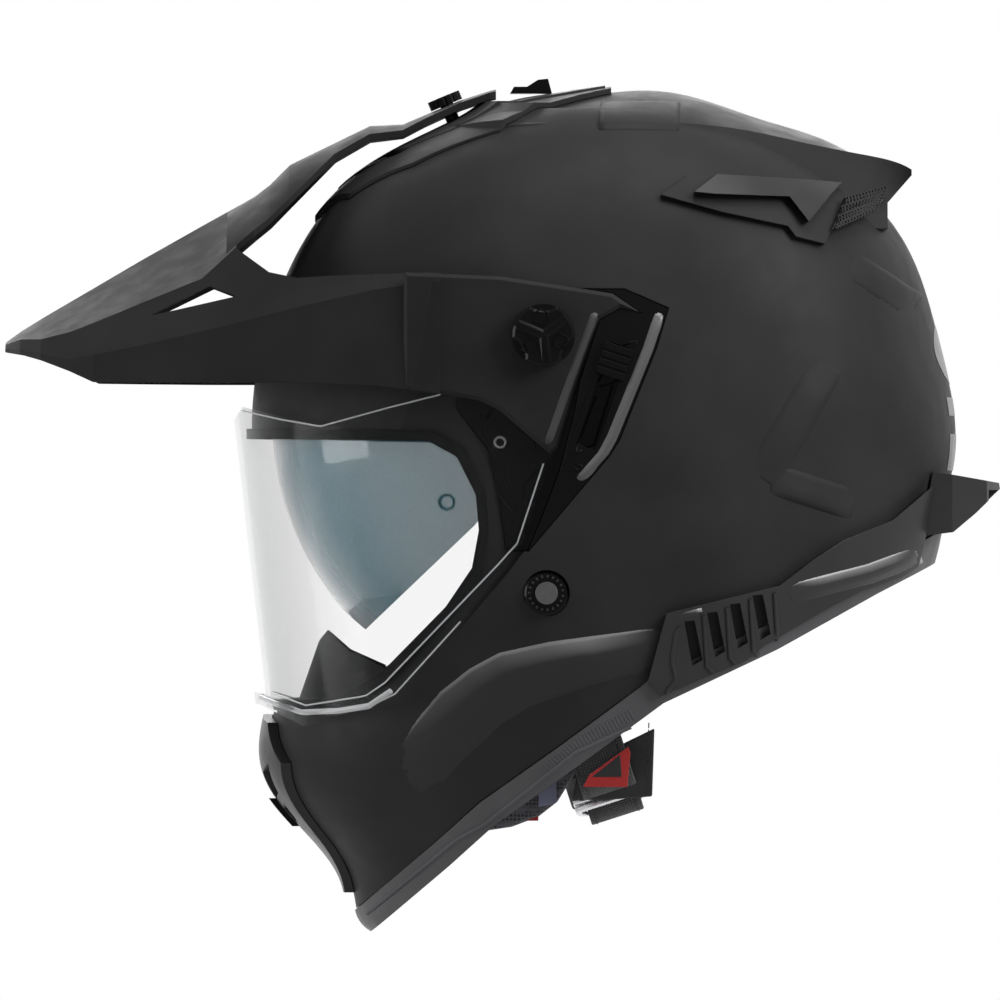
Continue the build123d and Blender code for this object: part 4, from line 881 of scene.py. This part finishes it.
# Visor rim
# The clear visor is moulded thicker round its rim and at the lip below, which is gripped to lift it.
# The polished steps' bright parallel lines are painted highlights: pale grey beads laid along them.
VISOR_RIM_LINES = (
    ((555, 457), (525, 546), (507, 569), (396, 692), (374, 703), (308, 713), (266, 699)),
    ((543, 464), (517, 543), (497, 565), (386, 681), (367, 694), (307, 704), (272, 692)),
    ((243, 411), (282, 420), (322, 427), (380, 411), (440, 396), (488, 344)),
)
VISOR_RIM_RADIUS = 0.00035
VISOR_LIP_LINES = (((262, 697), (278, 703), (303, 711), (340, 709), (370, 704), (392, 689)),)
VISOR_LIP_RADIUS = 0.0013
# Pale beads that paint the rim's and lip's highlights.
RIM_PAINTED_HIGHLIGHT = (0.55, 0.56, 0.57)
rim_painted_highlight = lens_plastic("rim_painted_highlight", RIM_PAINTED_HIGHLIGHT, square_on=0.6, glancing=0.9, scuffs=90)
visor_surface = surface_of("visor")
for word, side in SIDES:
    rim = beads("visor_rim_" + word, visor_surface, VISOR_RIM_LINES, side, VISOR_RIM_RADIUS)
    finished(rim, rim_painted_highlight, body="visor")
    lip = beads("visor_lip_" + word, visor_surface, VISOR_LIP_LINES, side, VISOR_LIP_RADIUS)
    finished(lip, rim_painted_highlight, body="visor")


# Visor mechanism
# Behind the visor's corner a black moulded ratchet plate, screwed to the shell, carries a pivot ring
# of steel and curved guide ribs.
MECHANISM_RIBS = (
    ((480, 414), (482, 432), (488, 449), (500, 463)),
    ((503, 470), (504, 482), (509, 493), (519, 500)),
    ((499, 496), (505, 505), (512, 512)),
    ((524, 428), (532, 436), (535, 452)),
    ((486, 420), (492, 411), (503, 407)),
    ((538, 470), (524, 486), (523, 503)),
)
PIVOT_PIXEL = (500, 443)
PIVOT_RADIUS = 0.0023
PIVOT_GREY = (0.14, 0.14, 0.145)
MECHANISM_BEAD = 0.0006
RING_CORNERS = 24


def circle_on(surface, pixel, radius, side, count):
    """Places on the surface round a pixel of the photograph."""
    middle = Vector(at_pixel(*pixel))
    turns = [2 * math.pi * k / count for k in range(count)]
    spots = [middle + Vector((math.cos(turn), math.sin(turn))) * radius for turn in turns]
    return resting(surface, spots, side)


def ring_on(name, surface, pixel, radius, side, thick):
    """A round bead lying on the surface about a pixel of the photograph."""
    places = [place for place, _ in circle_on(surface, pixel, radius, side, RING_CORNERS)]
    return cord_of(name, places, thick, closed=True)


pivot_steel = metal("pivot_steel", PIVOT_GREY, roughness=0.3)
for word, side in SIDES:
    surface = surface_of("mechanism_plate_" + word)
    ribs = beads("mechanism_ribs_" + word, surface, MECHANISM_RIBS, side, MECHANISM_BEAD)
    finished(ribs, gloss_plastic)
    pivot = ring_on("mechanism_pivot_" + word, surface, PIVOT_PIXEL, PIVOT_RADIUS, side, MECHANISM_BEAD)
    finished(pivot, pivot_steel)


# Side cover relief
# Each side cover is moulded with slanted louvres over a long slot, all edged by fine raised lips,
# with a small screw and a broad chamfer along its rear edge. The chamfer has painted light: a grey
# lighter than the cover's black and a painted highlight where it faces up.
COVER_LIPS = (
    ((597, 369), (603, 352), (635, 343), (624, 376), (610, 385), (598, 388)),
    ((599, 366), (606, 362), (629, 351), (620, 363)),
    ((597, 383), (601, 377), (617, 369), (624, 361)),
    ((591, 385), (564, 462)),
    ((595, 397), (574, 454), (593, 445), (611, 387)),
)
COVER_LIP_RADIUS = 0.0005
COVER_SCREW_PIXEL = (578, 468)
COVER_SCREW_RADIUS = 0.0013
COVER_CHAMFER = dict(
    pixels=((659, 314), (646, 352), (611, 438), (602, 455), (578, 482)),
    run=-0.0026, drop=0.0026, height=0.0008, ends=16.0,
)
# Painted light on the chamfer: a grey lighter than the cover's black, paler still where it faces up.
COVER_PAINTED_LIGHT_GREY = (0.055, 0.055, 0.056)
COVER_PAINTED_HIGHLIGHT = (0.12, 0.12, 0.122)
cover_edge_painted_highlight = painted_highlight_finish("cover_edge_painted_highlight", COVER_PAINTED_LIGHT_GREY, COVER_PAINTED_HIGHLIGHT, roughness=0.2, specular=0.3)
for word, side in SIDES:
    surface = surface_of("side_cover_" + word)
    lips = beads("cover_lips_" + word, surface, COVER_LIPS, side, COVER_LIP_RADIUS)
    finished(lips, gloss_plastic)
    where = (surface, COVER_SCREW_PIXEL, COVER_SCREW_RADIUS, side)
    finished(ring_on("cover_screw_" + word, *where, COVER_LIP_RADIUS), gloss_plastic)
    surface = surface_of("side_cover_" + word, "outer_shell")
    chamfer = crease("cover_chamfer_" + word, side, surface, **COVER_CHAMFER)
    finished(chamfer, cover_edge_painted_highlight)


# Peak arm bevel
# The peak's arms end in a broad bevel, moulded in one with them, that follows the side cover and
# catches the light. Its light is painted: a grey lighter than the peak's black and a painted
# highlight where it faces up.
ARM_BEVEL = dict(
    pixels=((595, 314), (590, 326), (566, 392), (547, 446)),
    run=-0.002, drop=0.002, height=0.0007, ends=16.0,
)
# Painted light on the bevel: lighter than the peak's black, paler still where it faces up.
ARM_PAINTED_LIGHT_GREY = (0.045, 0.045, 0.046)
ARM_PAINTED_HIGHLIGHT = (0.075, 0.075, 0.076)
arm_edge_painted_highlight = painted_highlight_finish("arm_edge_painted_highlight", ARM_PAINTED_LIGHT_GREY, ARM_PAINTED_HIGHLIGHT, roughness=0.42, specular=0.08)
peak_surface = surface_of("peak")
for word, side in SIDES:
    finished(crease("arm_bevel_" + word, side, peak_surface, **ARM_BEVEL), arm_edge_painted_highlight)


# Knob relief
# The thumb knobs of the peak are moulded with three raised arms that meet in the middle, and with a
# six-sided pocket between each pair.
KNOB_MIDDLE = (0.0251, 0.0717)
KNOB_ARMS = 3
ARM_TURN = math.radians(38)
ARM_REACH = 0.0122
ARM_WIDTH = 0.0044
ARM_RISE = 0.0018
ARM_TIP_SHARE = 0.6
ARM_SECTION_SHARES = ((-0.5, -0.3), (-0.5, 0.35), (-0.22, 1.0), (0.22, 1.0), (0.5, 0.35), (0.5, -0.3))
POCKET_OUT = 0.0079
POCKET_RADIUS = 0.0034
POCKET_LIP = 0.00045
HEXAGON = 6


def slab(name, front, back):
    """A closed piece between two outlines with the same number of corners."""
    count = len(front)
    faces = [tuple(range(count)), tuple(range(count, 2 * count))]
    faces += [(k, (k + 1) % count, count + (k + 1) % count, count + k) for k in range(count)]
    return outward(mesh_piece(name, [*front, *back], faces))


def knob_way(turn):
    return Vector((-math.cos(turn), 0, math.sin(turn)))


def knob_relief(word, side):
    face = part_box("peak_knob_" + word)[1 if side > 0 else 0].y
    middle = Vector((KNOB_MIDDLE[0], face, KNOB_MIDDLE[1]))
    out = Vector((0, side, 0))
    pieces = []
    for k in range(KNOB_ARMS):
        turn = ARM_TURN + 2 * math.pi * k / KNOB_ARMS
        way = knob_way(turn)
        across = way.cross(out) * ARM_WIDTH
        ends = []
        for end, rise in ((middle, ARM_RISE), (middle + way * ARM_REACH, ARM_RISE * ARM_TIP_SHARE)):
            ends.append([end + across * share + out * (rise * lift) for share, lift in ARM_SECTION_SHARES])
        pieces.append(slab(f"knob_arm_{word}_{k}", *ends))
        between = turn + math.pi / KNOB_ARMS
        pocket = middle + knob_way(between) * POCKET_OUT
        turns = [between + 2 * math.pi * corner / HEXAGON for corner in range(HEXAGON)]
        rim = [pocket + knob_way(angle) * POCKET_RADIUS for angle in turns]
        pieces.append(cord_of(f"knob_pocket_{word}_{k}", rim, POCKET_LIP, closed=True))
    return joined("knob_relief_" + word, pieces)


for word, side in SIDES:
    relief = knob_relief(word, side)
    relief.data.shade_flat()
    finished(relief, gloss_plastic, body="peak_knob_" + word)


# Rear vent mesh
# The rear extractor is closed by a moulded honeycomb of satin plastic on a dark gauze, held in the
# plane of the extractor's frame. The honeycomb is rows of small six-sided rings.
MESH_CORNERS = [Vector(corner) for corner in ((843, 199), (884, 188), (872, 212), (830, 232))]
MESH_ROWS = 7
MESH_PITCH = 0.0023
MESH_PROUD = 0.0003
QUARTER_SHARES = (0.0, 0.25, 0.5, 0.75, 1.0)
GAUZE_WALL = 0.001
CELL_RADIUS = MESH_PITCH / math.sqrt(3)
CELL_WALL = 0.00026


def cell_ring(name, radius, wall):
    """A six-sided ring lying flat, its top towards +Z."""
    built = bmesh.new()
    rings = []
    inner = radius - 2 * wall
    for reach, height in ((radius, -wall), (radius, wall), (inner, wall), (inner, -wall)):
        ring = []
        for k in range(HEXAGON):
            turn = 2 * math.pi * (k + 0.5) / HEXAGON
            ring.append(built.verts.new((math.cos(turn) * reach, math.sin(turn) * reach, height)))
        rings.append(ring)
    for a, b in zip(rings, rings[1:] + rings[:1]):
        for k in range(HEXAGON):
            after = (k + 1) % HEXAGON
            built.faces.new((a[k], a[after], b[after], b[k]))
    bmesh.ops.recalc_face_normals(built, faces=built.faces)
    return stamp_of(name, built)


def mesh_plane(surface, side):
    """A plane over the vent's corners, just clear of the surface: a point of it and its way out."""
    places = [cast(surface, *at_pixel(*corner), side)[0] for corner in MESH_CORNERS]
    out = (places[2] - places[0]).cross(places[3] - places[1]).normalized()
    if out.y * side < 0:
        out = -out
    rise = 0.0
    a, b, c, d = MESH_CORNERS
    for u in QUARTER_SHARES:
        for v in QUARTER_SHARES:
            place, _ = cast(surface, *at_pixel(*a.lerp(b, u).lerp(d.lerp(c, u), v)), side)
            if place is not None:
                rise = max(rise, (place - places[0]).dot(out))
    return places[0] + out * (rise + MESH_PROUD), out


def on_plane(point, out, pixel):
    """The place on a plane that a pixel of the photograph shows."""
    x, z = at_pixel(*pixel)
    return Vector((x, point.y - ((x - point.x) * out.x + (z - point.z) * out.z) / out.y, z))


cell = cell_ring("mesh_cell", CELL_RADIUS, CELL_WALL)
top_left, top_right, low_right, low_left = MESH_CORNERS
for word, side in SIDES:
    surface = surface_of("rear_grille_" + word, "rear_cap_" + word, "rear_blade_" + word, "outer_shell")
    point, out = mesh_plane(surface, side)
    face = [on_plane(point, out, corner) for corner in MESH_CORNERS]
    gauze = slab("rear_gauze_" + word, face, [place - out * GAUZE_WALL for place in face])
    finished(gauze, gloss_plastic)
    rows = []
    for k in range(MESH_ROWS):
        share = (k + 0.5) / MESH_ROWS
        a, b = top_left.lerp(low_left, share), top_right.lerp(low_right, share)
        half_cell = (b - a).normalized() * (MESH_PITCH / PIXEL / 2)
        a = a + half_cell * (2 if k % 2 else 1)
        rows.append([(on_plane(point, out, spot), out) for spot in (a, b)])
    stamped("rear_mesh_" + word, rows, MESH_PITCH, cell, satin_plastic)


# Skirt ribs
# The side skirts, taped to the shell's lower edge, are moulded with angled fins before each louvre,
# a lip above them and a long sharp facet towards the rear. The facet and the lip carry a painted
# highlight where they face up.
FIN_LINES = (
    ((683, 620), (674, 630), (670, 660), (674, 678), (664, 690)),
    ((701, 614), (704, 664), (715, 676)),
    ((724, 606), (727, 656), (738, 668)),
    ((747, 598), (750, 648), (760, 658)),
    ((771, 592), (774, 638)),
)
FIN_RADIUS = 0.001
SKIRT_WEDGES = {
    "facet": dict(
        pixels=((784, 599), (800, 592), (868, 575), (920, 556)), run=0.004, drop=0.0056, height=0.0013
    ),
    "lip": dict(pixels=((672, 617), (700, 611), (777, 592)), run=0.001, drop=0.0022, height=0.0006),
}
# Painted highlight on the skirt's facet and lip where they face up.
SKIRT_PAINTED_HIGHLIGHT = (0.3, 0.3, 0.302)
skirt_edge_painted_highlight = painted_highlight_finish("skirt_edge_painted_highlight", SATIN_BLACK, SKIRT_PAINTED_HIGHLIGHT, roughness=0.3, specular=0.2)
for word, side in SIDES:
    surface = surface_of("side_skirt_" + word, "base_trim")
    fins = beads("skirt_fins_" + word, surface, FIN_LINES, side, FIN_RADIUS)
    finished(fins, satin_plastic)
    for part, wedge in SKIRT_WEDGES.items():
        finished(crease(f"skirt_{part}_{word}", side, surface, **wedge), skirt_edge_painted_highlight)


# Washer marks
# The strap rivet's washer, a plastic disc clamped under the rivet's head, is moulded with a ring of
# small pips.
WASHER_PIXEL = (545.5, 592)
PIP_CIRCLE = 0.0073
PIP_PITCH = 0.0023
PIP_SIZE = (0.0009, 0.0012, 0.0005)
PIP_CORNERS = 32
pip = bead("pip", *PIP_SIZE)
for word, side in SIDES:
    circle = circle_on(surface_of("anchor_washer_" + word), WASHER_PIXEL, PIP_CIRCLE, side, PIP_CORNERS)
    stamped("washer_pips_" + word, [[*circle, circle[0]]], PIP_PITCH, pip, satin_plastic)


# Strap sleeve
# The padding under the chin is a flat black sleeve of soft cloth with a folded, stitched edge, which
# the strap runs through.
SLEEVE_ROUTE = (
    (-0.0814, 0.086), (-0.0572, 0.0906), (0.0, 0.092), (0.033, 0.0933),
    (0.0493, 0.0898), (0.066, 0.0818), (0.0858, 0.0788),
)
SLEEVE_WIDTH = 0.036
SLEEVE_WALL = 0.0036
SLEEVE_RIBS = 8
SLEEVE_BLACK = (0.016, 0.016, 0.017)
sleeve_cloth = moulded(
    "sleeve_cloth", SLEEVE_BLACK, roughness=0.7, specular=0.2, grain=1400, depth=0.00008, edge=0.0006
)
sleeve = webbing("strap_sleeve", strap_line(SLEEVE_ROUTE), SLEEVE_WIDTH, SLEEVE_WALL, SLEEVE_RIBS)
finished(sleeve, sleeve_cloth, "strap_pad")


# Tabs and ribbons
# Under the left rim hang the strap's sewn red frame tab and, under each cheek pad, a red pull tab
# and a loop of grey ribbon.
RED = (0.5, 0.025, 0.025)
RIBBON_GREY = (0.24, 0.25, 0.36)
RED_PITCH = 0.0008
RIBBON_PITCH = 0.0009
TAB_EDGE = 0.0003
TAB_EDGE_STEPS = 2
TAB_CENTRE = ((-0.0083, -0.1108), (-0.009, -0.1205), (0.004, -0.1205))
TAB_PROUD = 0.0003
SPOT_PLACES = 5


def soft_slab(name, front, back, edge, steps):
    """A slab with softened edges."""
    plate = slab(name, front, back)
    modified(plate, "BEVEL", width=edge, segments=steps)
    return applied(plate)


def tab(name, outline, low, high):
    """A flat plate between y = low and y = high."""
    front, back = ([(x, y, z) for x, z in outline] for y in (low, high))
    return soft_slab(name, front, back, TAB_EDGE, TAB_EDGE_STEPS)


def outline_of(node):
    """The corners of a flat CAD node seen side on, in order round their middle."""
    found = []
    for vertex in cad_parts[node].data.vertices:
        spot = (round(vertex.co.x, SPOT_PLACES), round(vertex.co.z, SPOT_PLACES))
        if spot not in found:
            found.append(spot)
    x, z = (sum(spot[k] for spot in found) / len(found) for k in (0, 1))
    return sorted(found, key=lambda spot: math.atan2(spot[1] - z, spot[0] - x))


red_cloth = woven("red_cloth", RED, RED_PITCH)
grey_cloth = woven("grey_cloth", RIBBON_GREY, RIBBON_PITCH)
for node in ("strap_tab", *pair("pull_tab"), *pair("pull_ribbon")):
    low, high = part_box(node)
    cloth, slot_name = (grey_cloth, "grey_ribbon") if "ribbon" in node else (red_cloth, "red_tab")
    finished(tab(node + "_cloth", outline_of(node), low.y, high.y), cloth, node)

tab_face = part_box("strap_tab")[1].y
centre = tab("strap_tab_centre", TAB_CENTRE, tab_face - TAB_PROUD, tab_face + TAB_PROUD)
finished(centre, strap_webbing)


# Sleeve flap
# Behind the rings the sleeve ends in a flat padded flap of the same cloth, stitched along its rear
# and lower edges, that leans in with the strap.
FLAP_PIXELS = ((600, 752), (653, 726), (652, 760), (651, 794), (600, 798), (572, 797), (576, 775))
FLAP_SEAM = FLAP_PIXELS[1:5]
FLAP_FACE = 0.0995
FLAP_LEAN = 0.55
FLAP_WALL = 0.0024
FLAP_EDGE = 0.0008
CLOTH_EDGE_STEPS = 3


def leaning(name, pixels, face, lean, wall, edge, side=1):
    """A plate in the side plane whose face leans in towards its lower edge."""
    outline = [at_pixel(*pixel) for pixel in pixels]
    top = max(z for _, z in outline)
    faces = []
    for sunk in (0, wall):
        faces.append([(x, side * (face - sunk - (top - z) * lean), z) for x, z in outline])
    return soft_slab(name, *faces, edge, CLOTH_EDGE_STEPS)


flap = leaning("sleeve_flap", FLAP_PIXELS, FLAP_FACE, FLAP_LEAN, FLAP_WALL, FLAP_EDGE)
finished(flap, sleeve_cloth)
flap_top = at_pixel(*FLAP_SEAM[0])[1]
seam = []
for stretch in zip(FLAP_SEAM, FLAP_SEAM[1:]):
    line = []
    for spot in divided([at_pixel(*pixel) for pixel in stretch]):
        face = FLAP_FACE - (flap_top - spot.y) * FLAP_LEAN
        line.append((Vector((spot.x + STITCH_INSET, face, spot.y + STITCH_INSET / 2)), Vector((0, 1, 0))))
    seam.append(line)
stamped("flap_stitches", seam, STITCH_PITCH, stitch, thread)


# Cheek pad bulges
# The cheek pads' foam, in an open honeycomb fabric, bulges below the rim ahead of each ribbon.
BULGE_PIXELS = (
    (466, 832), (520, 782), (556, 752), (578, 742), (575, 770), (557, 799), (538, 814), (512, 824), (486, 828)
)
BULGE_FACE = 0.0965
BULGE_LEAN = 0.25
BULGE_WALL = 0.012
BULGE_EDGE = 0.0028
CHEEK_GREY = (0.04, 0.04, 0.046)
CHEEK_PITCH = 0.0017
cheek_fabric = mesh_fabric("cheek_fabric", CHEEK_GREY, CHEEK_PITCH)
for word, side in SIDES:
    bulge = leaning("cheek_bulge_" + word, BULGE_PIXELS, BULGE_FACE, BULGE_LEAN, BULGE_WALL, BULGE_EDGE, side)
    bulge.data.shade_smooth()
    finished(bulge, cheek_fabric)


# Rear patches
# A round and two oblong patches of plain grey reflective film are stuck on the back of the shell
# and follow its curve.
PATCHES = {
    "round": (0.064, 0.032, 0.0132),
    "upper": (0.041, 0.029, 0.004),
    "lower": (0.021, 0.029, 0.008),
}
PATCH_WALL = 0.00025
PATCH_CORNERS = 32
FILM_GREY = (0.095, 0.095, 0.098)
film = moulded(
    "reflective_film", FILM_GREY, roughness=0.35, specular=0.3, grain=2600, depth=0.00002, edge=0.0001
)


def patch_spot(part, turn):
    """Where a patch's edge lies at a turn about its middle, as shares of its half sizes."""
    across, up = math.cos(turn), math.sin(turn)
    if part != "round":
        reach = max(abs(across), abs(up))
        across, up = across / reach, up / reach
    return across, up


for part, (height, half_width, half_height) in PATCHES.items():
    layers = []
    for wall in (-PATCH_WALL, PATCH_WALL):
        layer = []
        for share in QUARTER_SHARES:
            for k in range(PATCH_CORNERS if share else 1):
                across, up = patch_spot(part, 2 * math.pi * k / PATCH_CORNERS)
                start = Vector((-CAST_FROM, across * half_width * share, height + up * half_height * share))
                place, normal, _, _ = shell_surface.ray_cast(start, Vector((1, 0, 0)))
                layer.append(place + (normal if normal.x < 0 else -normal) * wall)
        layers.append(layer)
    size = len(layers[0])
    rings = len(QUARTER_SHARES) - 2
    rim = 1 + rings * PATCH_CORNERS
    faces = []
    for k in range(PATCH_CORNERS):
        after = (k + 1) % PATCH_CORNERS
        faces.append((rim + k, rim + after, size + rim + after, size + rim + k))
        for base in (0, size):
            faces.append((base, base + 1 + k, base + 1 + after))
            for ring in range(rings):
                near = base + 1 + ring * PATCH_CORNERS
                far = near + PATCH_CORNERS
                faces.append((near + k, far + k, far + after, near + after))
    patch = outward(mesh_piece("patch_" + part, layers[0] + layers[1], faces))
    finished(patch, film)
